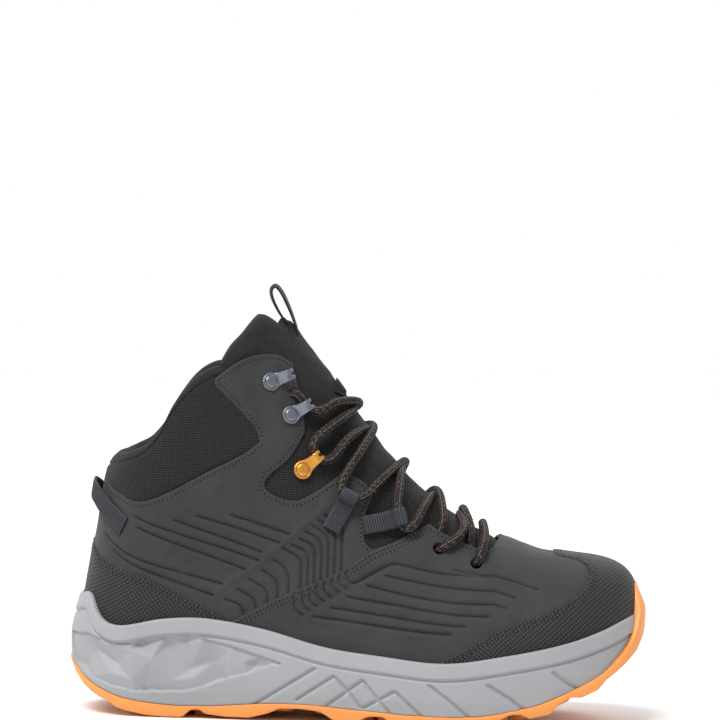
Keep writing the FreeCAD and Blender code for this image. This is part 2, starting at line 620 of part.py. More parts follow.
rivet_body = doc.addObject("PartDesign::Body", "rivet")
rivet_plane = next(f for f in rivet_body.Origin.OriginFeatures if f.Role == "XZ_Plane")
rivet_sketch = rivet_body.newObject("Sketcher::SketchObject", "rivet_sketch")
rivet_sketch.AttachmentSupport = (rivet_plane, [""])
rivet_sketch.MapMode = "FlatFace"
under_head = SEAT + plate + 0.02
head_r, shank_r, rise = dim("rivet_head") / 2, dim("rivet_shank") / 2, dim("rivet_rise")
RIVET_END = -0.8
profile = [V(0, RIVET_END, 0), V(shank_r, RIVET_END, 0), V(shank_r, under_head, 0),
           V(head_r, under_head, 0), V(head_r, under_head + rise * 0.45, 0),
           V(head_r * 0.62, under_head + rise, 0), V(0, under_head + rise, 0)]
for start, end in zip(profile, profile[1:] + profile[:1]):
    rivet_sketch.addGeometry(Part.LineSegment(start, end), False)
rivet_turn = rivet_body.newObject("PartDesign::Revolution", "rivet_turn")
rivet_turn.Profile = rivet_sketch
rivet_turn.ReferenceAxis = (rivet_sketch, ["V_Axis"])
rivet_turn.Angle = 360
rivet_body.Tip = rivet_turn
doc.recompute()


def rivet_group(name, hook_names):
    shapes = [placed(rivet_body.Shape.copy(), *HOOKS[hook_name], side)
              for hook_name in hook_names for side in (LATERAL, MEDIAL)]
    publish(shape_feature(name, Part.makeCompound(shapes)), name)


rivet_group("hook_rivets", ("hook_top", "hook_second"))
rivet_group("ankle_hook_rivets", ("ankle_hook",))


def webbing_loop_shape(length):
    """Doubled webbing strap with an open eye at its forward end."""
    thick = dim("webbing_thick")
    half = dim("webbing_width") / 2
    strap = Part.makeBox(length, 2 * half, thick, V(-2, -half, 0.15))
    eye_out = lace_radius + 0.35 + thick
    centre = V(length, -half, 0.15 + eye_out)
    ring = Part.makeCylinder(eye_out, 2 * half, centre, V(0, 1, 0))
    hole = Part.makeCylinder(lace_radius + 0.35, 2 * half + 2, centre - V(0, 1, 0), V(0, 1, 0))
    return strap.fuse(ring).cut(hole).removeSplitter()


for loop_name, (base, tip) in LOOPS.items():
    length = math.hypot(tip[0] - base[0], tip[1] - base[1])
    for side in (LATERAL, MEDIAL):
        name = "%s_%s" % (loop_name, SIDE_NAME[side])
        publish(shape_feature(name, placed(webbing_loop_shape(length), base, tip, side)), name)

# ---------------------------------------------------------------- pull loops
PULL_OUT = [(-40.6, 206.9), (-43.0, 213.6), (-46.8, 221.6), (-50.2, 227.1), (-53.8, 226.4),
            (-53.4, 221.0), (-50.4, 214.6), (-46.0, 209.4), (-43.2, 207.1)]
PULL_IN = [(-42.4, 208.9), (-44.4, 213.8), (-48.1, 221.6), (-50.6, 225.7), (-52.2, 225.2),
           (-51.9, 221.2), (-49.1, 215.2), (-45.2, 210.5)]


def closed_profile(points):
    return outline_face([points, [points[-1], points[0]]])


pull_ring = closed_profile(PULL_OUT).cut(closed_profile(PULL_IN)).Faces[0]
pull_tape = doc.addObject("Part::Extrusion", "tongue_pull_tape")
pull_tape.Base = shape_feature("tongue_pull_profile", pull_ring)
pull_tape.DirMode = "Custom"
pull_tape.Dir = V(0, 1, 0)
pull_tape.Solid = True
pull_tape.setExpression("LengthFwd", "Dimensions.pull_tape_width / 2")
pull_tape.setExpression("LengthRev", "Dimensions.pull_tape_width / 2")

PULL_ROOT = (-41.9, 208.3)         # the loop's sewn root, which it hinges about
PULL_ROOT_RADIUS = 1.45
root_start = V(PULL_ROOT[0], -dim("pull_tape_width") / 2, PULL_ROOT[1])
pull_root = shape_feature("tongue_pull_root", Part.makeCylinder(
    PULL_ROOT_RADIUS, dim("pull_tape_width"), root_start, V(0, 1, 0)))
publish(boolean("Fuse", "tongue_pull_loop", pull_tape, pull_root), "tongue_pull_loop")

strap_clear = dim("heel_strap_clear")
strap_shell = shell("heel_strap_shell", strap_clear + dim("heel_strap"), strap_clear,
                    dim("heel_strap_reach"))
STRAP_END = (-128.9, 102.6)        # the strap hinges about its rounded, sewn ends
STRAP_END_RADIUS = 4.6
STRAP_BACK = [(-125.6, 105.8), (-138.5, 119.5), (-141.5, 122.6), (-156, 122.6), (-156, 112.7),
              (-146.1, 112.7), (-140.6, 106), (-131.7, 99.0)]
strap_blank = panel("heel_strap_back", strap_shell,
                    polyline_runs(STRAP_BACK + [STRAP_END, STRAP_BACK[0]]))
strap_end_rod = shape_feature("heel_strap_end_rod", Part.makeCylinder(
    STRAP_END_RADIUS, 2 * dim("side_reach"), V(STRAP_END[0], -dim("side_reach"), STRAP_END[1]), V(0, 1, 0)))
strap_ends = boolean("Common", "heel_strap_ends", strap_shell, strap_end_rod)
publish(boolean("Fuse", "heel_pull_loop", strap_blank, strap_ends), "heel_pull_loop")

# ---------------------------------------------------------------- lace
# One half of the lace, from the middle of the lowest bar to its tucked end. An entry is either
# ("ridge", x), ("skin", x, z, side, lift) or (fitting, side, along, across, lift). Side +1 is
# the side the half starts on; the other half is its mirror image.
LACE_HALF = [
    ("ridge", 62.0),
    ("skin", 62.5, 95, 1, 4.6), ("skin", 60.4, 87.5, 1, 6.0), ("skin", 58.7, 84.5, 1, -1.5),
    ("skin", 57.0, 90, 1, -4.2), ("under", 50.0), ("skin", 42.5, 97, -1, -3.9),
    ("skin", 38.9, 91.9, -1, -0.5), ("skin", 41.5, 94.5, -1, 7.4), ("skin", 42.6, 103, -1, 5.0),
    ("ridge", 38.0),
    ("skin", 29.5, 113.5, 1, 4.4), ("lace_loop_lower", 1, 24.5, -6.5, 5.2),
    ("lace_loop_lower", 1, 18.0, -6.5, 4.6), ("lace_loop_lower", 1, 16.6, 0.5, 4.4),
    ("lace_loop_lower", 1, 19.0, 8.2, 4.8), ("skin", 18.5, 126.5, 1, 5.0), ("ridge", 19.0),
    ("skin", 2.5, 131, -1, 4.6), ("lace_loop_upper", -1, 19.6, -7.0, 4.9),
    ("lace_loop_upper", -1, 17.0, 0.0, 4.4), ("lace_loop_upper", -1, 19.0, 8.0, 4.8),
    ("skin", -5.0, 140.5, -1, 5.0), ("ridge", 3.0),
    ("skin", -12.0, 148, 1, 4.6), ("ankle_hook", 1, 13.6, -7.0, 4.2), ("ankle_hook", 1, 9.6, 0.0, 2.75),
    ("ankle_hook", 1, 13.0, 8.6, 4.6),
    ("skin", -16.0, 156.5, 1, 4.6), ("ridge", -5.0),
    ("skin", -19.0, 166, -1, 4.6), ("hook_second", -1, 14.0, -6.4, 4.2),
    ("hook_second", -1, 9.6, 0.0, 2.75), ("hook_second", -1, 8.4, 9.4, 3.0),
    ("skin", -42.0, 169.5, -1, -2.8), ("skin", -48.5, 162, -1, -2.8), ("skin", -50.5, 152.5, -1, -3.6),
]
CROSS_LIFT = {1: 7.4, -1: 1.6}     # one half of the lace crosses over the other


def lace_point(entry, mirror):
    kind = entry[0]
    if kind in ("ridge", "under"):
        x = entry[1]
        lift = CROSS_LIFT[mirror] if kind == "ridge" else 0.6 - (1 + mirror) * 2.4
        return V(x, toe_swing(x), through(RIDGE, x) + lift)
    if kind == "skin":
        _, x, z, side, lift = entry
        return on_form(x, z, side * mirror, lift)[0]
    _, side, along, across, lift = entry
    base, tip = HOOKS.get(kind) or LOOPS[kind]
    point, ahead, upward, normal = frame_at(base, tip, side * mirror)
    return point + ahead * along + upward * across + normal * lift


half_over = [lace_point(entry, 1) for entry in LACE_HALF]
half_under = [lace_point(entry, -1) for entry in LACE_HALF]
lace_points = half_under[:0:-1] + [V(62.0, toe_swing(62.0), through(RIDGE, 62.0) + 4.2)] + half_over[1:]


def cord_wire(points):
    """Straight runs joined by tangent arcs, each as large as its two runs allow."""
    edges = []
    radii = []
    start = points[0]
    for before, corner, after in zip(points, points[1:], points[2:]):
        back = before - corner
        ahead = after - corner
        shorter = min(back.Length, ahead.Length)
        back.normalize()
        ahead.normalize()
        half_turn = (math.pi - back.getAngle(ahead)) / 2
        trim = 0.45 * shorter
        radius = trim / math.tan(half_turn)
        radii.append(radius)
        enter, leave = corner + back * trim, corner + ahead * trim
        inward = back + ahead
        inward.normalize()
        middle = corner + inward * (radius / math.cos(half_turn) - radius)
        edges.append(Part.LineSegment(start, enter).toShape())
        edges.append(Part.Arc(enter, middle, leave).toShape())
        start = leave
    edges.append(Part.LineSegment(start, points[-1]).toShape())
    return Part.Wire(edges), radii


def cord_tube(points, radius):
    wire, radii = cord_wire(points)
    direction = points[1] - points[0]
    circle = Part.Wire(Part.makeCircle(radius, points[0], direction))
    return wire.makePipeShell([circle], True, True), wire, radii


lace_solid, lace_line, lace_radii = cord_tube(lace_points, lace_radius)
publish(shape_feature("lace", lace_solid), "lace")
print("lace length %.0f mm, tube volume / section x length = %.4f" % (
    lace_line.Length, lace_solid.Volume / (math.pi * lace_radius**2 * lace_line.Length)))
print("lace radii", " ".join("%.1f" % r for r in lace_radii[len(LACE_HALF) - 2:]))


def aglet_shape(inner, end):
    direction = end - inner
    direction.normalize()
    return Part.makeCylinder(lace_radius - 0.35, dim("aglet_length"), end + direction * 0.05, direction)


publish(shape_feature("lace_aglets", Part.makeCompound(
    [aglet_shape(lace_points[1], lace_points[0]), aglet_shape(lace_points[-2], lace_points[-1])])),
    "lace_aglets")

keeper_point = V(-14.5, 0, through(RIDGE, -14.5))
keeper = Part.makeBox(9, 16, 1.2, V(-4.5, -8, -1.0))
keeper.Placement = FreeCAD.Placement(keeper_point, FreeCAD.Rotation(V(0, 1, 0), 50))
publish(shape_feature("tongue_lace_keeper", keeper), "tongue_lace_keeper")

# ---------------------------------------------------------------- checks and export
doc.recompute()
failed = [obj.Name for obj in doc.Objects if "Invalid" in obj.State or "Error" in obj.State]
if failed:
    raise RuntimeError("objects that did not recompute: " + ", ".join(failed))
for obj in parts:
    if obj.Shape.isNull() or not obj.Shape.isValid() or not obj.Shape.Solids:
        raise RuntimeError("bad shape: " + obj.Label)
os.makedirs("parts", exist_ok=True)
for obj in parts:
    obj.Shape.exportStep("parts/%s.step" % obj.Label)
print("%d sub-parts written" % len(parts))
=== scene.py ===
"""Mid-height hiking boot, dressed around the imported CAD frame.

Lengths are in millimetres in this script's own tables and functions and become metres when a
mesh is made. +X heel to toe, +Z up, the outer (lateral) side faces -Y, as in the frame.
"""

import math

import bmesh
import bpy
import numpy as np
from mathutils import Matrix, Vector
from mathutils.bvhtree import BVHTree
from mathutils.geometry import delaunay_2d_cdt


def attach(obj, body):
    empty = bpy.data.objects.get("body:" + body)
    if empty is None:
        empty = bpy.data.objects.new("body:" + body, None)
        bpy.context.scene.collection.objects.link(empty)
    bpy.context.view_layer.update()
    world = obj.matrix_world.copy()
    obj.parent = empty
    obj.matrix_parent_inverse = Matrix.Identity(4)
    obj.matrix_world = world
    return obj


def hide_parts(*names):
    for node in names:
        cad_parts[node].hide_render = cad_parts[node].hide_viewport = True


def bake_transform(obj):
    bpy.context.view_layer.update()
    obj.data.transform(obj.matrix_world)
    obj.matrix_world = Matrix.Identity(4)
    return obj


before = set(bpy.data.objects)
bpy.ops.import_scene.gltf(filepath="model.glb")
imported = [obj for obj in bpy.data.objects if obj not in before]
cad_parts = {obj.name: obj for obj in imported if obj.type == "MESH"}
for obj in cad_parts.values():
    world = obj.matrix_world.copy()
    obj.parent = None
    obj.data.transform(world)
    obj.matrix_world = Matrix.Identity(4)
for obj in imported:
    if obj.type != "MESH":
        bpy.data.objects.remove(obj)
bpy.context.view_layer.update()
MM = 0.001
LATERAL, MEDIAL = -1, 1
SIDE_NAME = {LATERAL: "lateral", MEDIAL: "medial"}

# ================================================================ the lasted form
HEEL_END, TOE_END = -146.3, 145.0
FLOOR = [(-146.3, 50), (-140, 41.5), (-128, 35.5), (-105, 33), (-60, 31), (-20, 27), (20, 22.5),
         (50, 21.5), (80, 25), (110, 34), (128, 42.5), (138, 50), (145, 58)]
RIDGE = [(-146.3, 347), (-100, 284), (-60, 234), (-36, 203), (-15, 176.5), (3, 152.5), (18, 135),
         (31, 122.5), (42, 114), (53, 106.5), (63, 101), (76, 96), (92, 90.5), (110, 88.2),
         (124, 86.6), (133, 84), (139, 80), (143, 74), (145, 66)]
HALF_WIDTH = {
    LATERAL: [(-146.3, 36), (-110, 35), (-60, 37.5), (-20, 42), (20, 49), (50, 53), (80, 52),
              (110, 47), (145, 42)],
    MEDIAL: [(-146.3, 36), (-110, 35), (-60, 36), (-20, 36.5), (20, 43), (50, 49.5), (80, 52),
             (110, 50), (145, 46)],
}
RISE_POWER = [(-146.3, 4.2), (-100, 3.6), (-60, 2.5), (-30, 1.8), (0, 1.65), (40, 1.75),
              (80, 2.2), (110, 2.6), (145, 2.6)]
CLOSE_POWER = [(-146.3, 0.55), (-30, 0.6), (0, 0.6), (40, 0.58), (80, 0.5), (145, 0.45)]
ANKLE_WIDTH = [(-146.3, 5), (-110, 6), (-60, 4), (-20, 0), (0, 0)]
HEEL_LEAN = 0.14
UNDER_FLOOR = 4.0
HEEL_ROUND, TOE_ROUND = 40.0, 58.0


def through(table, x):
    """Smooth curve through the table's points, flat beyond its ends."""
    xs, ys = np.array(table, float).T
    slope = np.empty_like(ys)
    slope[1:-1] = (ys[2:] - ys[:-2]) / (xs[2:] - xs[:-2])
    slope[0] = (ys[1] - ys[0]) / (xs[1] - xs[0])
    slope[-1] = (ys[-1] - ys[-2]) / (xs[-1] - xs[-2])
    x = np.clip(np.asarray(x, float), xs[0], xs[-1])
    k = np.clip(np.searchsorted(xs, x, side="right") - 1, 0, len(xs) - 2)
    span = xs[k + 1] - xs[k]
    s = (x - xs[k]) / span
    return ((2 * s**3 - 3 * s**2 + 1) * ys[k] + (s**3 - 2 * s**2 + s) * slope[k] * span
            + (-2 * s**3 + 3 * s**2) * ys[k + 1] + (s**3 - s**2) * slope[k + 1] * span)


def smoothstep(a, b, x):
    s = np.clip((np.asarray(x, float) - a) / (b - a), 0, 1)
    return s * s * (3 - 2 * s)


def end_round(distance, radius, power=2.3):
    u = 1 - np.clip(distance, 0, radius) / radius
    return (1 - u**power) ** (1 / power)


def toe_swing(X):
    return 5 * (np.clip(np.asarray(X, float) - 20, 0, None) / 125) ** 1.5


def lean(X):
    return HEEL_LEAN * (1 - smoothstep(-125, -40, X))


def form_point(X, phi, side):
    """Points of the form, phi in radians up from the floor edge to the ridge."""
    floor = through(FLOOR, X) - UNDER_FLOOR
    ridge = through(RIDGE, X)
    z = floor + np.sin(phi) ** (2 / through(RISE_POWER, X)) * (ridge - floor)
    width = through(HALF_WIDTH[side], X) + through(ANKLE_WIDTH, X) * smoothstep(70, 130, z)
    width = width * end_round(X - HEEL_END, HEEL_ROUND) * end_round(TOE_END - X, TOE_ROUND)
    y = side * width * np.clip(np.cos(phi), 0, 1) ** (2 * through(CLOSE_POWER, X))
    return np.stack([X + lean(X) * (z - 60), y + toe_swing(X), z], -1)


# The skin is drawn out flat on (u, s): u runs along the boot, s is the distance round the
# section from the ridge, negative on the lateral side.
HEEL_U, TOE_U = 60.0, 86.0
HEEL_BEND, TOE_BEND = HEEL_END + HEEL_ROUND, TOE_END - TOE_ROUND
U_MIN, U_MAX = HEEL_BEND - HEEL_U, TOE_BEND + TOE_U
END_ANGLE = math.pi / 2 - 1e-4


def station(u):
    u = np.asarray(u, float)
    heel = HEEL_BEND - HEEL_ROUND * np.sin(np.clip((HEEL_BEND - u) / HEEL_U, 0, 1) * END_ANGLE)
    toe = TOE_BEND + TOE_ROUND * np.sin(np.clip((u - TOE_BEND) / TOE_U, 0, 1) * END_ANGLE)
    return np.where(u < HEEL_BEND, heel, np.where(u > TOE_BEND, toe, u))


def unstation(X):
    X = np.asarray(X, float)
    heel = HEEL_BEND - HEEL_U * np.arcsin(np.clip((HEEL_BEND - X) / HEEL_ROUND, 0, 1)) / END_ANGLE
    toe = TOE_BEND + TOE_U * np.arcsin(np.clip((X - TOE_BEND) / TOE_ROUND, 0, 1)) / END_ANGLE
    return np.where(X < HEEL_BEND, heel, np.where(X > TOE_BEND, toe, X))


def unit(vectors):
    """The same directions with length one, for one vector or rows of them."""
    return vectors / np.maximum(np.linalg.norm(vectors, axis=-1, keepdims=True), 1e-9)


def reach_along(path):
    """Distance from a path's start to each of its points."""
    return np.concatenate([[0], np.cumsum(np.linalg.norm(np.diff(path, axis=0), axis=1))])


class Skin:
    """Tables that turn (u, s) into points and normals of the form."""
    U_COUNT, PHI_COUNT, S_STEP = 560, 240, 0.5

    def __init__(self):
        self.us = np.linspace(U_MIN, U_MAX, self.U_COUNT)
        ramp = (1 - np.cos(np.linspace(0, math.pi, self.PHI_COUNT))) / 2
        phi = ramp[::-1] * math.pi / 2
        self.points, self.reach, self.rows = {}, {}, {}
        for side in (LATERAL, MEDIAL):
            X = station(self.us)
            pts = form_point(X[:, None] + 0 * phi, phi[None, :] + 0 * X[:, None], side)
            step = np.linalg.norm(np.diff(pts, axis=1), axis=2)
            reach = np.concatenate([np.zeros((len(X), 1)), np.cumsum(step, 1)], 1)
            self.rows[side] = (pts, reach)
            count = int(reach.max() / self.S_STEP) + 24
            s = np.arange(count) * self.S_STEP
            table = np.empty((len(X), count, 3))
            for i in range(len(X)):
                for axis in range(3):
                    table[i, :, axis] = np.interp(s, reach[i], pts[i, :, axis])
                beyond = s > reach[i, -1]
                table[i, beyond, 2] -= s[beyond] - reach[i, -1]
            self.points[side] = table

    def at(self, u, s):
        """Points for arrays of u and s."""
        u, s = np.asarray(u, float), np.asarray(s, float)
        fi = np.clip((u - U_MIN) / (U_MAX - U_MIN) * (self.U_COUNT - 1), 0, self.U_COUNT - 1.001)
        i = fi.astype(int)
        fi = (fi - i)[:, None]
        out = np.zeros((len(u), 3))
        for side in (LATERAL, MEDIAL):
            pick = (s < 0) if side == LATERAL else (s >= 0)
            table = self.points[side]
            fj = np.clip(np.abs(s[pick]) / self.S_STEP, 0, table.shape[1] - 1.001)
            j = fj.astype(int)
            fj = (fj - j)[:, None]
            a, f = i[pick], fi[pick]
            low = table[a, j] * (1 - fj) + table[a, j + 1] * fj
            high = table[a + 1, j] * (1 - fj) + table[a + 1, j + 1] * fj
            out[pick] = low * (1 - f) + high * f
        return out

    def normal(self, u, s, step=1.0):
        """Outward unit normals for arrays of u and s."""
        u, s = np.asarray(u, float), np.asarray(s, float)
        ua, ub = np.clip(u - step, U_MIN, U_MAX), np.clip(u + step, U_MIN, U_MAX)
        along = self.at(ub, s) - self.at(ua, s)
        around = self.at(u, s + step) - self.at(u, s - step)
        return unit(np.cross(along, around))

    def find(self, points, side):
        """u and s of the skin where side view shows the (x, z) points."""
        x, z = np.array(points, float).T
        X = x
        for _ in range(12):
            X = x - lean(X) * (z - 60)
        u = unstation(np.clip(X, HEEL_END + 0.001, TOE_END - 0.001))
        rows = np.clip(np.round((u - U_MIN) / (U_MAX - U_MIN) * (self.U_COUNT - 1)), 0, self.U_COUNT - 1)
        pts, reach = self.rows[side]
        s = [np.interp(-height, -pts[i, :, 2], reach[i]) for i, height in zip(rows.astype(int), z)]
        return u, side * np.array(s)


skin = Skin()


# ================================================================ flat drawing of panels
VAMP_U = 68.0


class Chart:
    """Flat coordinates (a, b), in millimetres, for drawing panels on the skin.

    heel: a runs round the heel from its middle, b is the height above the form's bottom edge.
    vamp: a runs along the boot, b goes round from the ridge, drawn in behind the throat.
    tongue: a is the distance along the ridge, b goes round from it.
    """

    def __init__(self, kind):
        self.kind = kind
        self.total = {side: skin.rows[side][1][:, -1] for side in (LATERAL, MEDIAL)}
        self.along = reach_along(skin.rows[MEDIAL][0][:, 0])

    def girth(self, u, side):
        return np.interp(u, skin.us, self.total[side])

    def girths(self, u, lateral):
        """Half girths at u, on the lateral side where lateral is true."""
        return np.where(lateral, self.girth(u, LATERAL), self.girth(u, MEDIAL))

    def draw(self, points, side):
        """(a, b) of side-view (x, z) points."""
        u, s = skin.find(points, side)
        if self.kind == "heel":
            return np.stack([side * (u - U_MIN), self.girth(u, side) - np.abs(s)], 1)
        if self.kind == "tongue":
            return np.stack([np.interp(u, skin.us, self.along), s], 1)
        drawn_in = np.where(u < VAMP_U, self.girth(u, side) - self.girth(VAMP_U, side), 0)
        return np.stack([u, side * (np.abs(s) - drawn_in)], 1)

    def us(self, ab):
        """(u, s) of chart points."""
        a, b = np.asarray(ab, float).T
        if self.kind == "heel":
            u = U_MIN + np.abs(a)
            side = np.where(a < 0, LATERAL, MEDIAL)
            return u, side * np.maximum(self.girths(u, a < 0) - b, 0.01)
        if self.kind == "tongue":
            return np.interp(a, self.along, skin.us), b
        side = np.where(b < 0, LATERAL, MEDIAL)
        drawn_in = self.girths(a, b < 0) - self.girths(VAMP_U, b < 0)
        return a, side * (np.abs(b) + np.where(a < VAMP_U, drawn_in, 0))

    def place(self, ab, lift=0.0):
        """Points and normals of the skin at chart points."""
        u, s = self.us(ab)
        n = skin.normal(u, s)
        lift = np.broadcast_to(np.asarray(lift, float), (len(u),))
        return skin.at(u, s) + n * lift[:, None], n


HEEL_CHART, VAMP_CHART, TONGUE_CHART = Chart("heel"), Chart("vamp"), Chart("tongue")


def along_path(path, step):
    """Points every step along a polyline, its ends included."""
    path = np.asarray(path, float)
    reach = reach_along(path)
    count = max(int(round(reach[-1] / step)), 1) + 1
    t = np.linspace(0, reach[-1], count)
    return np.stack([np.interp(t, reach, path[:, i]) for i in range(path.shape[1])], 1)


def curve_through(points, step=1.0):
    """Smooth curve through 2-D or 3-D points, sampled every step."""
    points = np.asarray(points, float)
    if len(points) < 3:
        return along_path(points, step)
    gaps = np.sqrt(np.linalg.norm(np.diff(points, axis=0), axis=1))
    knots = np.concatenate([[0], np.cumsum(gaps)])
    fine = np.linspace(0, knots[-1], 24 * (len(points) - 1) + 1)
    dense = np.stack([through(list(zip(knots, points[:, i])), fine) for i in range(points.shape[1])], 1)
    return along_path(dense, step)


def inside(points, outline):
    """True for the points inside a closed polygon."""
    x, y = points[:, 0], points[:, 1]
    hit = np.zeros(len(points), bool)
    for (x0, y0), (x1, y1) in zip(outline, np.roll(outline, -1, 0)):
        if y0 != y1:
            crosses = (y0 > y) != (y1 > y)
            hit ^= crosses & (x < (x1 - x0) * (y - y0) / (y1 - y0) + x0)
    return hit


def distance_to(points, lines):
    """Distance from each 2-D point to the nearest of some polylines."""
    best = np.full(len(points), 1e9)
    for line in lines:
        for start, end in zip(line[:-1], line[1:]):
            span = end - start
            t = np.clip(((points - start) @ span) / max(span @ span, 1e-12), 0, 1)
            off = points - start - t[:, None] * span
            best = np.minimum(best, np.einsum("ij,ij->i", off, off))
    return np.sqrt(best)


class Sieve:
    """Keeps points that are not too near those kept already."""

    def __init__(self, cell):
        self.cell, self.kept, self.grid = cell, [], {}

    def add(self, points, gap, always=False):
        near = gap * gap
        reach = int(math.ceil(gap / self.cell))
        for x, y in points:
            i, j = int(x // self.cell), int(y // self.cell)
            blocked = False
            if not always:
                for di in range(-reach, reach + 1):
                    for dj in range(-reach, reach + 1):
                        for qx, qy in self.grid.get((i + di, j + dj), ()):
                            if (qx - x)**2 + (qy - y)**2 < near:
                                blocked = True
            if not blocked:
                self.grid.setdefault((i, j), []).append((x, y))
                self.kept.append((x, y))


def side_rows(path, offsets):
    """Copies of a path moved sideways."""
    tangent = np.gradient(path, axis=0)
    normal = unit(np.stack([-tangent[:, 1], tangent[:, 0]], 1))
    return [path + normal * off for off in offsets]


def triangulate(loops, lines, step, edge_rows=(0.35, 0.95)):
    """Triangles filling closed loops (the first is the outline, the rest are holes)."""
    sieve = Sieve(1.0)
    for loop in loops:
        sieve.add(loop, 0, always=True)
    edges, first = [], 0
    for loop in loops:
        count = len(loop)
        edges += [(first + k, first + (k + 1) % count) for k in range(count)]
        first += count
    rings = [np.vstack([loop, loop[:1]]) for loop in loops]

    def fits(points, gap):
        points = points[inside(points, loops[0])]
        for hole in loops[1:]:
            points = points[~inside(points, hole)]
        return points[distance_to(points, rings) > gap] if len(points) else points

    for ring in rings:
        for off in edge_rows:
            for row in side_rows(ring, (off, -off)):
                sieve.add(fits(row[:-1], off * 0.9), 0.3)
    for path, offsets in lines:
        for row in side_rows(path, offsets):
            sieve.add(fits(row, 0.35), 0.3)
    low, high = loops[0].min(0), loops[0].max(0)
    grid = []
    for j, y in enumerate(np.arange(low[1], high[1], step * 0.866)):
        xs = np.arange(low[0] + (j % 2) * step / 2, high[0], step)
        grid.append(np.stack([xs, np.full(len(xs), y)], 1))
    sieve.add(fits(np.vstack(grid), step * 0.5), step * 0.72)
    verts = [Vector(p) for p in sieve.kept]
    found = delaunay_2d_cdt(verts, edges, [], 0, 1e-4)
    points = np.array([tuple(v) for v in found[0]])
    tris = np.array([f for f in found[2] if len(f) == 3])
    middle = points[tris].mean(1)
    keep = inside(middle, loops[0])
    for hole in loops[1:]:
        keep &= ~inside(middle, hole)
    return points, tris[keep], rings


def quarter_round(distance, radius):
    """0 at an edge, 1 from radius inwards, along a quarter of a circle."""
    t = 1 - np.clip(distance / radius, 0, 1)
    return np.sqrt(np.clip(1 - t * t, 0, 1))


def valley(distance, half_width):
    """1 at the middle of a groove, 0 outside it, with soft shoulders."""
    t = np.clip(distance / half_width, 0, 1)
    return (1 - t * t)**2


def ripple(points, size, seed=0):
    """Gentle unevenness between about -1 and 1, with bumps about size apart."""
    rng = np.random.default_rng(seed)
    total = np.zeros(len(points))
    for _ in range(7):
        direction = rng.normal(size=3)
        direction *= 2 * math.pi / (size * rng.uniform(0.7, 1.6)) / np.linalg.norm(direction)
        total += np.sin(points @ direction + rng.uniform(0, 6.28))
    return total / 4


# ================================================================ meshes and materials
def add_object(name, data):
    """New object that holds the data, linked to the scene."""
    obj = bpy.data.objects.new(name, data)
    bpy.context.scene.collection.objects.link(obj)
    return obj


def make_object(name, verts, faces, material, flat=None):
    """Mesh object from millimetre vertices. flat gives a UV pair per vertex."""
    mesh = bpy.data.meshes.new(name)
    mesh.from_pydata((np.asarray(verts) * MM).tolist(), [], [list(map(int, f)) for f in faces])
    mesh.validate()
    mesh.shade_smooth()
    if flat is not None:
        layer = mesh.uv_layers.new(name="flat")
        corners = np.empty(len(mesh.loops), dtype=np.int32)
        mesh.loops.foreach_get("vertex_index", corners)
        layer.data.foreach_set("uv", np.asarray(flat, np.float32)[corners].ravel())
    obj = add_object(name, mesh)
    obj.data.materials.append(material)
    return obj


def weld(obj, distance=0.02):
    """Joins vertices that lie on each other."""
    work = bmesh.new()
    work.from_mesh(obj.data)
    bmesh.ops.remove_doubles(work, verts=work.verts, dist=distance * MM)
    work.to_mesh(obj.data)
    work.free()


def settle(obj, body, slot_name, *nodes):
    """Says which body a piece rides on and hides the CAD nodes it stands for; slot_name, its finish, is
    not used.
    """
    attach(obj, body)
    if nodes:
        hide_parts(*nodes)
    return obj


def node_material(name, paint):
    """Node-based material; paint(brush, shader) builds it."""
    material = bpy.data.materials.new(name)
    material.use_nodes = True
    tree = material.node_tree
    shader = next(n for n in tree.nodes if n.type == "BSDF_PRINCIPLED")
    paint(Brush(tree), shader)
    return material


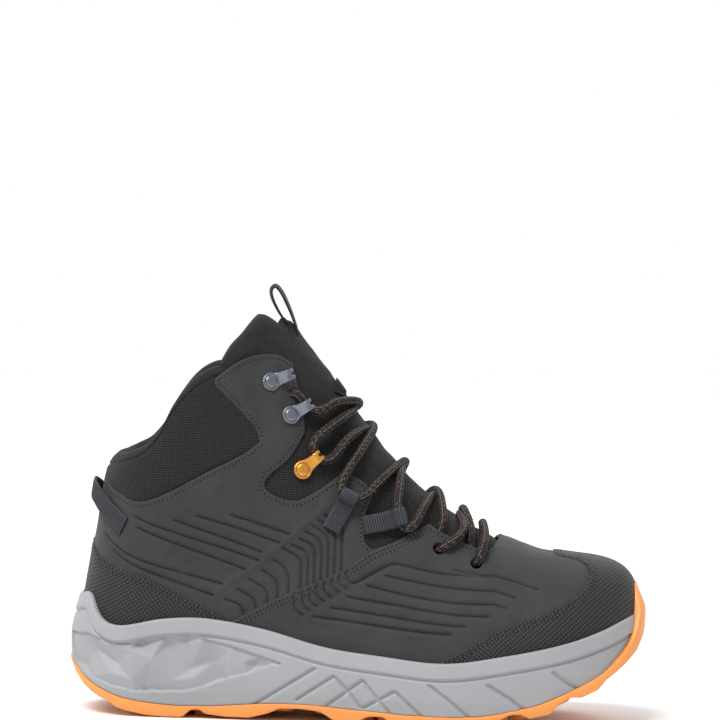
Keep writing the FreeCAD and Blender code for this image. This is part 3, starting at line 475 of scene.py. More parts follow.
class Brush:
    """Short names for the shader nodes that the materials share."""

    def __init__(self, tree):
        self.tree = tree

    def node(self, kind, **values):
        made = self.tree.nodes.new(kind)
        for key, value in values.items():
            setattr(made, key, value)
        return made

    def link(self, source, target):
        self.tree.links.new(source, target)

    def object_place(self):
        """Position on the piece at rest, in millimetres."""
        place = self.node("ShaderNodeTexCoord").outputs["Object"]
        return self.scaled(place, (1000, 1000, 1000))

    def flat_place(self):
        """Drawing coordinates of the piece, in millimetres."""
        return self.node("ShaderNodeUVMap", uv_map="flat").outputs["UV"]

    def scaled(self, vector, factors, turn=0.0):
        mapping = self.node("ShaderNodeMapping")
        mapping.inputs["Scale"].default_value = factors
        mapping.inputs["Rotation"].default_value = (0, 0, turn)
        self.link(vector, mapping.inputs["Vector"])
        return mapping.outputs["Vector"]

    def noise(self, vector, scale, detail=3.0, roughness=0.55):
        made = self.node("ShaderNodeTexNoise")
        made.inputs["Scale"].default_value = scale
        made.inputs["Detail"].default_value = detail
        made.inputs["Roughness"].default_value = roughness
        self.link(vector, made.inputs["Vector"])
        return made.outputs["Fac"]

    def ramp(self, value, stops):
        """Colour ramp; stops are (place, grey or colour)."""
        made = self.node("ShaderNodeValToRGB")
        band = made.color_ramp
        while len(band.elements) < len(stops):
            band.elements.new(0.5)
        for element, (place, colour) in zip(band.elements, stops):
            element.position = place
            if not isinstance(colour, tuple):
                colour = (colour, colour, colour)
            element.color = colour + (1,)
        self.link(value, made.inputs["Fac"])
        return made.outputs["Color"]

    def maths(self, operation, first, second=None, third=None):
        made = self.node("ShaderNodeMath", operation=operation)
        for socket, value in zip(made.inputs, (first, second, third)):
            if value is None:
                continue
            if isinstance(value, (int, float)):
                socket.default_value = value
            else:
                self.link(value, socket)
        return made.outputs["Value"]

    def mix(self, factor, first, second):
        made = self.node("ShaderNodeMix", data_type="RGBA")
        for socket, value in ((made.inputs["Factor"], factor), (made.inputs["A"], first),
                              (made.inputs["B"], second)):
            if isinstance(value, (int, float)):
                socket.default_value = value
            elif isinstance(value, tuple):
                socket.default_value = value + (1,)
            else:
                self.link(value, socket)
        return made.outputs["Result"]

    def bump(self, shader, height, strength, distance):
        made = self.node("ShaderNodeBump")
        made.inputs["Strength"].default_value = strength
        made.inputs["Distance"].default_value = distance * MM
        self.link(height, made.inputs["Height"])
        self.link(made.outputs["Normal"], shader.inputs["Normal"])

    def waves(self, vector, axis):
        """0 to 1 wave along one axis of a vector, one wave per unit."""
        parts = self.node("ShaderNodeSeparateXYZ")
        self.link(vector, parts.inputs["Vector"])
        turned = self.maths("MULTIPLY", parts.outputs[axis], 2 * math.pi)
        return self.maths("MULTIPLY_ADD", self.maths("SINE", turned), 0.5, 0.5)


def nubuck(b, shader):
    place = b.object_place()
    mottle = b.noise(place, 0.07, 5, 0.65)
    nap = b.noise(place, 2.6, 2)
    tone = b.ramp(mottle, [(0.34, (0.0165, 0.0170, 0.0177)), (0.66, (0.0325, 0.0330, 0.0342))])
    colour = b.mix(b.maths("MULTIPLY", nap, 0.35), tone, (0.051, 0.051, 0.052))
    b.link(colour, shader.inputs["Base Color"])
    b.link(b.ramp(mottle, [(0.25, 0.62), (0.75, 0.9)]), shader.inputs["Roughness"])
    shader.inputs["Sheen Weight"].default_value = 0.06
    shader.inputs["Sheen Roughness"].default_value = 0.6
    shader.inputs["Specular IOR Level"].default_value = 0.28
    b.bump(shader, nap, 0.5, 0.15)


def checked_cloth(dark, light, pitch, turn, depth, roughness=0.8):
    """Woven cloth: small cells pitch apart with darker gaps."""
    def paint(b, shader):
        cells = b.scaled(b.flat_place(), (1 / pitch, 1 / pitch, 1), turn)
        across = b.waves(cells, 0)
        along = b.waves(cells, 1)
        weave = b.maths("MULTIPLY", across, along)
        grain = b.noise(b.object_place(), 0.9, 3)
        colour = b.mix(b.ramp(weave, [(0.0, 0.0), (0.75, 1.0)]), dark, light)
        colour = b.mix(b.maths("MULTIPLY", grain, 0.3), colour, dark)
        b.link(colour, shader.inputs["Base Color"])
        shader.inputs["Roughness"].default_value = roughness
        shader.inputs["Specular IOR Level"].default_value = 0.25
        shader.inputs["Sheen Weight"].default_value = 0.05
        b.bump(shader, weave, 0.6, depth)
    return paint


def foam_rubber(low, high, roughness, speck=0.9):
    """Moulded foam or rubber with a faint mottle and fine tooth."""
    def paint(b, shader):
        place = b.object_place()
        mottle = b.noise(place, 0.03, 4)
        tooth = b.noise(place, speck, 3)
        b.link(b.mix(mottle, low, high), shader.inputs["Base Color"])
        b.link(b.ramp(tooth, [(0.2, roughness - 0.08), (0.8, roughness + 0.08)]),
               shader.inputs["Roughness"])
        b.bump(shader, tooth, 0.12, 0.1)
    return paint


def painted_metal(low, high):
    def paint(b, shader):
        place = b.object_place()
        b.link(b.mix(b.noise(place, 0.2, 4), low, high), shader.inputs["Base Color"])
        shader.inputs["Metallic"].default_value = 0.7
        b.link(b.ramp(b.noise(place, 1.5, 3), [(0.3, 0.28), (0.7, 0.42)]), shader.inputs["Roughness"])
        shader.inputs["Coat Weight"].default_value = 0.15
        b.bump(shader, b.noise(place, 3.0, 2), 0.08, 0.05)
    return paint


BRAID_STEP, BRAID_ROW = 3.4, 0.754


def braid(b, shader):
    """Lace: dark braid with fine grey lines and a few orange flecks along it."""
    def away(value, middle):
        return b.maths("ABSOLUTE", b.maths("SUBTRACT", value, middle))

    flat = b.flat_place()
    parts = b.node("ShaderNodeSeparateXYZ")
    b.link(b.scaled(flat, (1 / BRAID_STEP, 1 / BRAID_ROW, 1)), parts.inputs["Vector"])
    row = b.maths("FLOOR", parts.outputs[1])
    kind = b.maths("MODULO", row, 4.0)
    step = b.maths("FRACT", b.maths("ADD", parts.outputs[0], b.maths("MULTIPLY", row, 0.37)))
    from_middle = away(step, 0.5)
    across_row = away(b.maths("FRACT", parts.outputs[1]), 0.5)
    mid_row = b.maths("LESS_THAN", across_row, 0.34)
    patches = b.maths("GREATER_THAN", b.noise(b.scaled(flat, (0.16, 0.10, 1)), 1.0, 2), 0.50)
    orange_row = b.maths("LESS_THAN", away(kind, 1.0), 0.4)
    grey_row = b.maths("LESS_THAN", away(kind, 3.0), 0.4)
    short = b.maths("MULTIPLY", b.maths("LESS_THAN", from_middle, 0.22), mid_row)
    orange = b.maths("MULTIPLY", short, b.maths("MULTIPLY", orange_row, patches))
    long = b.maths("MULTIPLY", b.maths("LESS_THAN", from_middle, 0.40), mid_row)
    grey = b.maths("MULTIPLY", long, grey_row)
    ply = b.waves(b.scaled(flat, (1 / 1.3, 1 / 1.26, 1), math.radians(38)), 0)
    grain = b.noise(b.object_place(), 1.4, 3)
    colour = b.mix(b.maths("MULTIPLY", ply, grain), (0.004, 0.0034, 0.0032), (0.036, 0.028, 0.025))
    colour = b.mix(orange, colour, (0.180, 0.080, 0.042))
    colour = b.mix(grey, colour, (0.105, 0.085, 0.076))
    b.link(colour, shader.inputs["Base Color"])
    shader.inputs["Roughness"].default_value = 0.7
    shader.inputs["Specular IOR Level"].default_value = 0.25
    b.bump(shader, ply, 0.5, 0.2)


RIB_PITCH = 1.4                    # of the webbing's ribs


def ribbed(b, shader):
    """Grosgrain webbing: ribs across the strap."""
    flat = b.flat_place()
    rib = b.waves(b.scaled(flat, (1 / RIB_PITCH, 1, 1)), 0)
    yarn = b.waves(b.scaled(flat, (1, 1 / 0.55, 1)), 1)
    grain = b.noise(b.object_place(), 0.8, 3)
    shade = b.maths("MULTIPLY", rib, b.maths("MULTIPLY_ADD", yarn, 0.4, 0.6))
    colour = b.mix(b.maths("ADD", shade, b.maths("MULTIPLY", grain, 0.2)), (0.006, 0.0065, 0.008),
                   (0.047, 0.050, 0.060))
    b.link(colour, shader.inputs["Base Color"])
    shader.inputs["Roughness"].default_value = 0.6
    shader.inputs["Specular IOR Level"].default_value = 0.3
    b.bump(shader, rib, 0.4, 0.2)


def thread(b, shader):
    grain = b.noise(b.object_place(), 2.0, 2)
    b.link(b.mix(grain, (0.026, 0.026, 0.026), (0.072, 0.072, 0.071)), shader.inputs["Base Color"])
    shader.inputs["Roughness"].default_value = 0.7


# Near-black colour painted on flat discs as the shade inside needle holes.
def painted_hole_shade(b, shader):
    grain = b.noise(b.object_place(), 1.0, 2)
    b.link(b.mix(grain, (0.0035, 0.0035, 0.0035), (0.008, 0.008, 0.008)), shader.inputs["Base Color"])
    shader.inputs["Roughness"].default_value = 0.95


def plain_cloth(dark, light, size, roughness=0.85):
    """Cloth or board on pieces that have no drawing coordinates."""
    def paint(b, shader):
        place = b.object_place()
        weave = b.noise(place, size, 2)
        mottle = b.noise(place, 0.04, 3)
        tone = b.mix(mottle, dark, light)
        b.link(b.mix(b.maths("MULTIPLY", weave, 0.4), tone, dark), shader.inputs["Base Color"])
        shader.inputs["Roughness"].default_value = roughness
        b.bump(shader, weave, 0.3, 0.2)
    return paint


MATERIALS = {name: node_material(name, paint) for name, paint in {
    "nubuck": nubuck,
    "cap_cloth": checked_cloth((0.011, 0.011, 0.0115), (0.052, 0.052, 0.053), 1.7, math.radians(40),
                               0.35, 0.6),
    "mesh_cloth": checked_cloth((0.003, 0.003, 0.003), (0.044, 0.042, 0.041), 1.25, 0.1, 0.45),
    "smooth_cloth": checked_cloth((0.012, 0.012, 0.0125), (0.026, 0.026, 0.027), 0.55, 0.6, 0.12),
    "lining_cloth": checked_cloth((0.010, 0.010, 0.011), (0.024, 0.024, 0.026), 0.8, 0.3, 0.15),
    "webbing": ribbed,
    "tape": checked_cloth((0.004, 0.004, 0.0045), (0.016, 0.016, 0.017), 0.5, 0.0, 0.1),
    "midsole_foam": foam_rubber((0.275, 0.280, 0.292), (0.335, 0.340, 0.354), 0.55),
    "outsole_rubber": foam_rubber((0.78, 0.270, 0.055), (0.86, 0.315, 0.075), 0.5),
    "grey_metal": painted_metal((0.130, 0.142, 0.168), (0.215, 0.232, 0.270)),
    "orange_metal": painted_metal((0.55, 0.235, 0.032), (0.72, 0.34, 0.060)),
    "lace_braid": braid,
    "thread": thread,
    "painted_hole_shade": painted_hole_shade,
    "soft_lining": plain_cloth((0.022, 0.022, 0.024), (0.045, 0.045, 0.048), 1.2),
    "stiff_board": plain_cloth((0.045, 0.045, 0.046), (0.085, 0.083, 0.080), 0.7),
    "nylon": plain_cloth((0.018, 0.018, 0.019), (0.050, 0.050, 0.052), 0.3, 0.4),
    "pale_floor": plain_cloth((0.84, 0.84, 0.84), (0.87, 0.87, 0.87), 0.02, 0.9),
}.items()}


# ================================================================ panels
def open_edges(tris):
    """Directed edges that only one triangle has."""
    pairs = np.vstack([tris[:, (0, 1)], tris[:, (1, 2)], tris[:, (2, 0)]])
    size = int(tris.max()) + 1
    codes = pairs[:, 0] * size + pairs[:, 1]
    back = pairs[:, 1] * size + pairs[:, 0]
    return pairs[~np.isin(codes, back)]


def two_sided(count, tris):
    """Faces of a sheet with a second side count vertices on, and which vertices lie on its shared edge."""
    on_edge = np.zeros(count, bool)
    on_edge[np.unique(open_edges(tris))] = True
    below = np.arange(count) + count
    below[on_edge] = np.nonzero(on_edge)[0]
    return [tuple(t) for t in tris] + [tuple(below[t][::-1]) for t in tris], on_edge


def join_runs(*runs):
    """One closed outline from runs of chart points."""
    kept = []
    for run in runs:
        for p in run:
            if not kept or np.linalg.norm(p - kept[-1]) > 0.3:
                kept.append(np.asarray(p, float))
    if np.linalg.norm(kept[0] - kept[-1]) < 0.3:
        kept.pop()
    return np.array(kept)


def drawn(chart, points, side, step=1.0):
    """Smooth chart curve through side-view points."""
    return curve_through(chart.draw(points, side), step)


def level_run(chart, side, u_from, u_to, height):
    """Chart curve that keeps a height above the form's bottom edge."""
    u = np.linspace(u_from, u_to, max(int(abs(u_to - u_from)), 2))
    if chart.kind == "heel":
        return np.stack([side * (u - U_MIN), np.full(len(u), height)], 1)
    total = chart.girth(np.maximum(u, VAMP_U), side)
    return np.stack([u, side * (total - height)], 1)


PANEL_SINK = 1.2                   # a panel's edge reaches this far down


def panel(name, chart, loops, material, base, rise, step, radius, lines=(), relief=None, seam_u=None):
    """Sheet on the skin with a rounded edge. relief(points, chart points, edge distance) adds height.

    seam_u is where the sheet's two sides meet, so that no edge shows there.
    """
    ab, tris, rings = triangulate(loops, lines, step)
    if seam_u is None:
        distance = distance_to(ab, rings)
    else:
        free = [ring[k:k + 2] for ring in rings for k in range(len(ring) - 1)
                if min(ring[k][0], ring[k + 1][0]) < seam_u - 0.01]
        distance = distance_to(ab, free)
    flat_points, normals = chart.place(ab)
    height = base + rise * (0.35 + 0.65 * quarter_round(distance, radius))
    if relief is not None:
        height = height + relief(flat_points, ab, distance)
    top = flat_points + normals * height[:, None]
    edges = open_edges(tris)
    if seam_u is not None:
        edges = edges[~((ab[edges[:, 0], 0] > seam_u - 0.01) & (ab[edges[:, 1], 0] > seam_u - 0.01))]
    rim = np.unique(edges)
    under = {int(v): len(ab) + k for k, v in enumerate(rim)}
    low = flat_points[rim] + normals[rim] * (height[rim] - PANEL_SINK)[:, None]
    faces = [tuple(t) for t in tris]
    faces += [(b, a, under[int(a)], under[int(b)]) for a, b in edges]
    verts = np.vstack([top, low])
    obj = make_object(name, verts, faces, material, np.vstack([ab, ab[rim]]))
    if seam_u is not None:
        weld(obj)
    face_out(obj)
    return obj


def face_out(obj):
    """Turns all faces the same way, outwards."""
    work = bmesh.new()
    work.from_mesh(obj.data)
    bmesh.ops.recalc_face_normals(work, faces=work.faces)
    work.to_mesh(obj.data)
    work.free()


# ---------------------------------------------------------------- outlines in side view (x, z)
TOP_BACK = [(-137.5, 122.6), (-129.9, 117), (-118.9, 113), (-108.2, 116), (-86.8, 128),
            (-65.5, 139.4), (-56.6, 146.3)]
TOP_FLAP_BACK = [(-56.6, 146.3), (-59.4, 152.5), (-68.4, 163.1), (-80.8, 174.7)]
TOP_FLAP = [(-80.8, 174.7), (-80.8, 177.9), (-77.7, 180.7), (-66.3, 188.9), (-50.5, 191.5),
            (-40.8, 186.5)]
EYESTAY = [(-40.8, 186.5), (-38.4, 177), (-34.5, 162), (-32.9, 150.5)]
HOOK_WINDOW = [(-32.9, 150.5), (-40.9, 137.2), (-51.3, 127.9), (-53.2, 123), (-48.3, 118.4),
               (-37.1, 115.5), (-27.2, 120.1), (-13.7, 129.5)]
LOOP_TAB = [(-13.7, 129.5), (-7.8, 129.1), (-0.2, 124.1), (3.1, 118.9), (0.1, 110.9)]
TAB_STITCHES = [(-21.3, 100.8), (-15.9, 97.5), (-11.7, 95.4)]
LOOP_WINDOW = [(0.1, 110.9), (-0.2, 95.9), (3.4, 91.5)]
SEAM = [(33.1, 103.8), (16, 95.6), (3.4, 89.9), (-12.7, 79.2), (-33.7, 70.1), (-51.4, 61.6),
        (-68, 52.0)]
THROAT = [(33.1, 103.8), (40.8, 99.4), (53.9, 93.9), (62.8, 90.9), (67.5, 92.6)]
HEEL_CAP_TOP = [(-144.1, 88.1), (-123.2, 76.2), (-106.8, 69.7), (-90.3, 62.1), (-73.9, 55),
                (-68.4, 50)]
TOE_CAP_EDGE = [(101.6, 87.9), (114.9, 84.9), (118.8, 80.6), (117.3, 75.2), (109.9, 68.5),
                (93.9, 60.4), (57.6, 44.1), (34, 32)]
COLLAR_TOP = [(-50, 158), (-55, 168), (-62, 177), (-70, 183.5), (-78.4, 185.4), (-87.3, 181.4),
              (-95.1, 174.8), (-102.7, 164.5), (-107.7, 154.8), (-115.4, 145), (-123.2, 140.6),
              (-134.7, 136.4)]
TONGUE_TOP = [(-43.5, 206.5), (-50, 210.6), (-54.8, 212.6), (-58, 211.4), (-66.7, 200.6),
              (-73, 194), (-77.5, 186.5)]
TONGUE_BACK = [(-77.5, 186.5), (-72, 178.5), (-54, 158), (-45, 139), (-26, 114), (14, 98),
               (47, 91), (72, 90)]
TONGUE_SEAM = [(-75, 185.9), (-70.8, 194.2), (-63.6, 199.7), (-54.7, 201.6), (-42, 202)]

# moulded grooves of the quarter: straight ones behind the ridge, angled ones in front of it
QUARTER_STRIPES = [[(-69.6, 107.3), (-39.4, 98.1)], [(-88.1, 107.2), (-44.6, 93.9)],
                   [(-99.4, 104.4), (-54.1, 88.8)], [(-119.7, 104.5), (-54.9, 84)],
                   [(-118.6, 99.2), (-61.8, 79.4)], [(-135.2, 94.3), (-73.8, 70.7)],
                   [(-130.5, 86.1), (-78, 64.8)]]
QUARTER_RIDGE = [(-21.4, 112.2), (-39.4, 96.7), (-53.9, 83.1), (-61.7, 77.6), (-72.9, 69.8),
                 (-77.1, 64.8)]
# each angled groove starts in front of the ridge, turns a corner and runs down to the seam
CHEVRONS = [(-71.8, 63.2, -62.0, 59.1), (-65.8, 68.7, -55.6, 63.7), (-59.8, 74.1, -49.6, 68.7),
            (-52.9, 78.7, -44.4, 73.7), (-46.9, 84.2, -38.9, 79.2), (-42.7, 90.5, -32.5, 85.5),
            (-38, 93, -29, 88.8), (-34.1, 95.6, -25.6, 91.9), (-31, 99.5, -22, 94.8),
            (-27.5, 102.6, -18.6, 97.8), (-24.4, 105.6, -15.2, 100.4), (-21, 108.4, -11.6, 103)]
VAMP_STRIPES = [[(-8.8, 81.5), (-8.7, 76), (-5.3, 73.8), (6.8, 80.3), (14.3, 83.5), (19, 83.7),
                 (34.2, 80.6), (91.3, 72.6)],
                [(47.5, 81.5), (68.4, 77.8)], [(11.6, 78), (47.7, 72), (79.1, 68.2)],
                [(2.3, 72.4), (27, 67.6), (74.5, 62.9)], [(-8, 66.3), (19.6, 62.7), (65.2, 58.6)],
                [(-16.3, 60.6), (14.1, 57), (53.5, 53.2)], [(-25.6, 55.4), (4.8, 52.3), (45.6, 49)]]
VAMP_HOOKS = [[(-12.5, 79.5), (-12.1, 73.6), (-9, 71)], [(-16.3, 77.5), (-15.7, 71.4), (-12.8, 68.8)],
              [(-20.4, 75.6), (-19.9, 69), (-16.8, 66.4)], [(-24.2, 73.8), (-23.6, 66.4), (-20.6, 64)],
              [(-27.9, 72), (-27.3, 63.8), (-24.3, 61.3)], [(-31.6, 70.2), (-31, 61.4), (-28, 58.9)],
              [(-35.6, 68), (-35.3, 59.6), (-32, 56.8)]]
VAMP_CHANNEL = [(-31.3, 55.9), (-11.8, 67.9), (6.8, 78.8), (15.2, 83.2)]
EYELETS = [(58.7, 84.5), (38.9, 91.9)]
GROOVE_ROWS = (0.0, 0.45, -0.45, 1.0, -1.0)

LEATHER_RISE = 1.1
TUCK = 10.0                        # the heel's panels end this far above the form's bottom edge
GROOVE_HALF, GROOVE_DEPTH = 1.1, 1.3


def quarter_grooves(chart, side):
    paths = [drawn(chart, stripe, side) for stripe in QUARTER_STRIPES]
    for x0, z0, x1, z1 in CHEVRONS:
        seam_z = np.interp(x1, *np.array(SEAM[:1:-1]).T)
        turn = [(x0, z0), (x1 - 2.5, z1 + 1.0), (x1 - 0.3, z1 - 2.2), (x1, (z1 + seam_z) / 2),
                (x1, seam_z)]
        paths.append(drawn(chart, turn, side))
    return paths


QUARTER_LOOPS = {}


def quarter(side):
    """Heel and ankle leather of one side with its moulded grooves."""
    chart = HEEL_CHART
    name = "quarter_" + SIDE_NAME[side]
    heel_seam = side * 0.2
    top_back = drawn(chart, TOP_BACK, side)
    bottom = level_run(chart, side, U_MIN + 0.2, -62, TUCK)
    under_vamp = drawn(chart, [(x + 5.0, z - 4.0) for x, z in SEAM[1:]], side)
    front = drawn(chart, LOOP_WINDOW, side)
    start = np.array([heel_seam, chart.draw([(-139.5, 123.4)], side)[0][1]])
    loop = join_runs([start], top_back, drawn(chart, TOP_FLAP_BACK, side), drawn(chart, TOP_FLAP, side),
                     drawn(chart, EYESTAY, side), drawn(chart, HOOK_WINDOW, side),
                     drawn(chart, LOOP_TAB, side), front, under_vamp, bottom[::-1],
                     along_path([[heel_seam, TUCK], start], 1.0))
    QUARTER_LOOPS[side] = loop
    grooves = quarter_grooves(chart, side)
    ridge = drawn(chart, QUARTER_RIDGE, side)

    def relief(points, ab, distance):
        cut = valley(distance_to(ab, grooves), GROOVE_HALF)
        step_line = distance_to(ab, [ridge])
        soft = 0.34 * ripple(points, 24, 3) + 0.13 * ripple(points, 8, 4)
        pulled = valley(np.abs(distance - 2.6), 1.5)
        return soft - GROOVE_DEPTH * cut + 0.6 * valley(step_line, 2.2) - 0.22 * pulled

    lines = [(path, GROOVE_ROWS) for path in grooves] + [(ridge, (0.0, 1.0, -1.0))]
    obj = panel(name, chart, [loop], MATERIALS["nubuck"], 0.0, LEATHER_RISE, 1.35, 0.8, lines, relief)
    return settle(obj, "boot", "nubuck", name)


def nose_run(bottom):
    """Down the middle of the toe, from the chart's axis to the end of a bottom edge."""
    return along_path([[U_MAX, 0.0], [U_MAX, bottom[-1][1]]], 0.9)


def vamp_lift(ab, chart_seams):
    """The vamp lies over the quarter along its seam and eases down to the form beyond it."""
    return 0.95 * (1 - smoothstep(5, 22, distance_to(ab, chart_seams)))


def vamp():
    chart = VAMP_CHART
    sides = {}
    seams, grooves, hooks, channels = [], [], [], []
    for side in (MEDIAL, LATERAL):
        seam = drawn(chart, SEAM, side)
        throat = drawn(chart, THROAT, side)
        bottom = level_run(chart, side, -68, U_MAX, 2.0)
        sides[side] = (seam, throat, bottom)
        seams.append(seam)
        grooves += [drawn(chart, stripe, side) for stripe in VAMP_STRIPES]
        hooks += [drawn(chart, hook, side) for hook in VAMP_HOOKS]
        channels.append(drawn(chart, VAMP_CHANNEL, side))
    seam, throat, bottom = sides[MEDIAL]
    front = curve_through([throat[-1], (70.6, 9.0), (71.2, 0)], 1.0)
    seam_l, throat_l, bottom_l = sides[LATERAL]
    front_l = curve_through([throat_l[-1], (70.6, -9.0), (71.2, 0)], 1.0)
    nose = nose_run(bottom)
    loop = join_runs(front[::-1], throat[::-1], seam, bottom, nose[::-1], nose * (1, -1),
                     bottom_l[::-1], seam_l[::-1], throat_l, front_l)
    holes = [ring_around(chart, x, z, side, 3.0) for x, z in EYELETS for side in (MEDIAL, LATERAL)]
    cuts = grooves + hooks
    hole_points = [chart.draw([p], side)[0] for p in EYELETS for side in (MEDIAL, LATERAL)]

    def relief(points, ab, distance):
        cut = valley(distance_to(ab, cuts), GROOVE_HALF)
        soft = 0.34 * ripple(points, 26, 5) + 0.13 * ripple(points, 8, 6)
        pulled = valley(np.abs(distance - 2.6), 1.5)
        near_hole = np.min([np.linalg.norm(ab - h, axis=1) for h in hole_points], axis=0)
        pucker = 0.45 * valley(near_hole, 9.0) * np.sin(7 * np.arctan2(ab[:, 1], ab[:, 0] - 50))
        rim = 0.5 * valley(np.abs(near_hole - 3.9), 1.5)
        dish = -0.5 * valley(distance_to(ab, channels), 3.2)
        return soft - GROOVE_DEPTH * cut - 0.22 * pulled + pucker + rim + dish + vamp_lift(ab, seams)

    lines = [(path, GROOVE_ROWS) for path in cuts]
    obj = panel("vamp", chart, [loop] + holes, MATERIALS["nubuck"], 0.0, LEATHER_RISE, 1.45, 0.8,
                lines, relief, seam_u=U_MAX)
    return settle(obj, "boot", "nubuck", "vamp"), loop


def ring_around(chart, x, z, side, radius):
    """Round outline on the chart about a side-view point."""
    middle = chart.draw([(x, z)], side)[0]
    turn = np.linspace(0, 2 * math.pi, 24, endpoint=False)
    return middle + radius * np.stack([np.cos(turn), np.sin(turn)], 1)


CAP_BASE, CAP_RISE = 0.85, 1.0


def cap_relief(seed):
    """Height of a cap: faint ripples, and two rows of stitches that pull it in."""
    def relief(points, _, distance):
        pulled = valley(np.abs(distance - 2.2), 1.1) + valley(np.abs(distance - 4.4), 1.1)
        return 0.15 * ripple(points, 24, seed) - 0.2 * pulled
    return relief


def toe_cap():
    chart = VAMP_CHART
    halves = []
    for side in (MEDIAL, LATERAL):
        edge = curve_through(np.vstack([[(100.2, 0)], chart.draw(TOE_CAP_EDGE, side)]), 1.0)
        bottom = level_run(chart, side, 34, U_MAX, 2.0)
        halves.append((edge, bottom))
    (edge, bottom), (edge_l, bottom_l) = halves
    nose = nose_run(bottom)
    loop = join_runs(edge, bottom, nose[::-1], nose * (1, -1), bottom_l[::-1], edge_l[::-1])

    obj = panel("toe_cap", chart, [loop], MATERIALS["cap_cloth"], CAP_BASE, CAP_RISE, 1.6, 0.7,
                relief=cap_relief(8), seam_u=U_MAX)
    stiffener("toe_puff", chart, loop, U_MAX)
    return settle(obj, "boot", "cap_textile", "toe_cap"), loop


def heel_cap():
    chart = HEEL_CHART
    middle_top = chart.draw([(-145.0, 90.5)], MEDIAL)[0][1]
    edges = [curve_through(np.vstack([[(0, middle_top)], chart.draw(HEEL_CAP_TOP, side)]), 1.0)
             for side in (MEDIAL, LATERAL)]
    bottoms = [level_run(chart, side, U_MIN, -68.4, TUCK) for side in (MEDIAL, LATERAL)]
    loop = join_runs(edges[0], bottoms[0][::-1], bottoms[1], edges[1][::-1])

    obj = panel("heel_cap", chart, [loop], MATERIALS["cap_cloth"], CAP_BASE, CAP_RISE, 1.6, 0.7,
                relief=cap_relief(9))
    stiffener("heel_counter", chart, loop)
    return settle(obj, "boot", "cap_textile", "heel_cap"), loop


def stiffener(name, chart, loop, seam_u=None):
    """Thin board between the lining and the outer layers."""
    obj = panel(name + "_board", chart, [loop], MATERIALS["stiff_board"], -3.7, 1.0, 3.5, 0.8,
                seam_u=seam_u)
    return settle(obj, "boot", "stiffener", name)


def eyestay_textile(side):
    """Mesh behind the hook window and the loop window."""
    chart = HEEL_CHART
    name = "eyestay_textile_" + SIDE_NAME[side]
    window = drawn(chart, [(-30, 153), (-43.5, 138.5), (-55, 129), (-57.5, 122.5), (-50, 114.8),
                           (-37, 111.5), (-25, 116.5), (-9, 127)], side)
    hook_loop = join_runs(window, along_path([window[-1], window[0]], 1.0))
    corner = drawn(chart, [(-3, 112), (-4, 96), (1.5, 87)], side)
    lower = drawn(chart, [(1.5, 87), (16, 92), (33.5, 101.5)], side)
    upper = drawn(chart, [(33.5, 103.8), (20, 118.4), (2, 120.5), (-3, 112)], side)
    loop_loop = join_runs(corner, lower, upper)
    for tag, loop in (("hook", hook_loop), ("loop", loop_loop)):
        obj = panel("%s_%s" % (name, tag), chart, [loop], MATERIALS["mesh_cloth"], -1.2, 0.7, 1.6, 0.8)
        settle(obj, "boot", "mesh_textile", name)


# ================================================================ grids: collar, tongue, lining
def quads(n, m, wrap, first=0):
    """Faces between n rows of m vertices. wrap joins the last row to the first."""
    faces = []
    for i in range(n if wrap else n - 1):
        here, there = first + i * m, first + (i + 1) % n * m
        faces += [(here + j, here + j + 1, there + j + 1, there + j) for j in range(m - 1)]
    return faces


def grid_object(name, rows, material, flat=None, wrap=False, ends=False):
    """Quad mesh through an array of points (rows, columns, 3). ends closes the first and last column."""
    rows = np.asarray(rows, float)
    n, m = rows.shape[:2]
    faces = quads(n, m, wrap)
    if ends:
        faces.append(tuple(i * m for i in range(n)))
        faces.append(tuple(i * m + m - 1 for i in reversed(range(n))))
    uv = None if flat is None else np.asarray(flat, float).reshape(-1, 2)
    obj = make_object(name, rows.reshape(-1, 3), faces, material, uv)
    face_out(obj)
    return obj


def height_on(a, height):
    """b on the heel chart where the skin at a reaches a height."""
    u = U_MIN + np.abs(a)
    found = []
    for each_a, each_u, each_h in zip(a, u, np.broadcast_to(height, a.shape)):
        side = LATERAL if each_a < 0 else MEDIAL
        row = int(round((each_u - U_MIN) / (U_MAX - U_MIN) * (skin.U_COUNT - 1)))
        pts, reach = skin.rows[side]
        found.append(reach[row, -1] - np.interp(-each_h, -pts[row, :, 2], reach[row]))
    return np.array(found)


def chart_function(chart, points):
    """b of a symmetrical side-view line as a function of a, on the heel chart."""
    halves = []
    for side in (LATERAL, MEDIAL):
        ab = curve_through(chart.draw(points, side), 0.5)
        halves.append(ab[np.argsort(ab[:, 0])])
    both = np.vstack(halves)
    return lambda a: np.interp(a, both[:, 0], both[:, 1])


COLLAR_THICK = 8.6
COLLAR_ROLL = 4.3
COLLAR_BACK = (-137.5, 135.5)
COLLAR_REACH = 113.0               # round from the heel's middle to the collar's front edge
COLLAR_TUCK = -3.0                 # depth of the collar where the quarter covers it


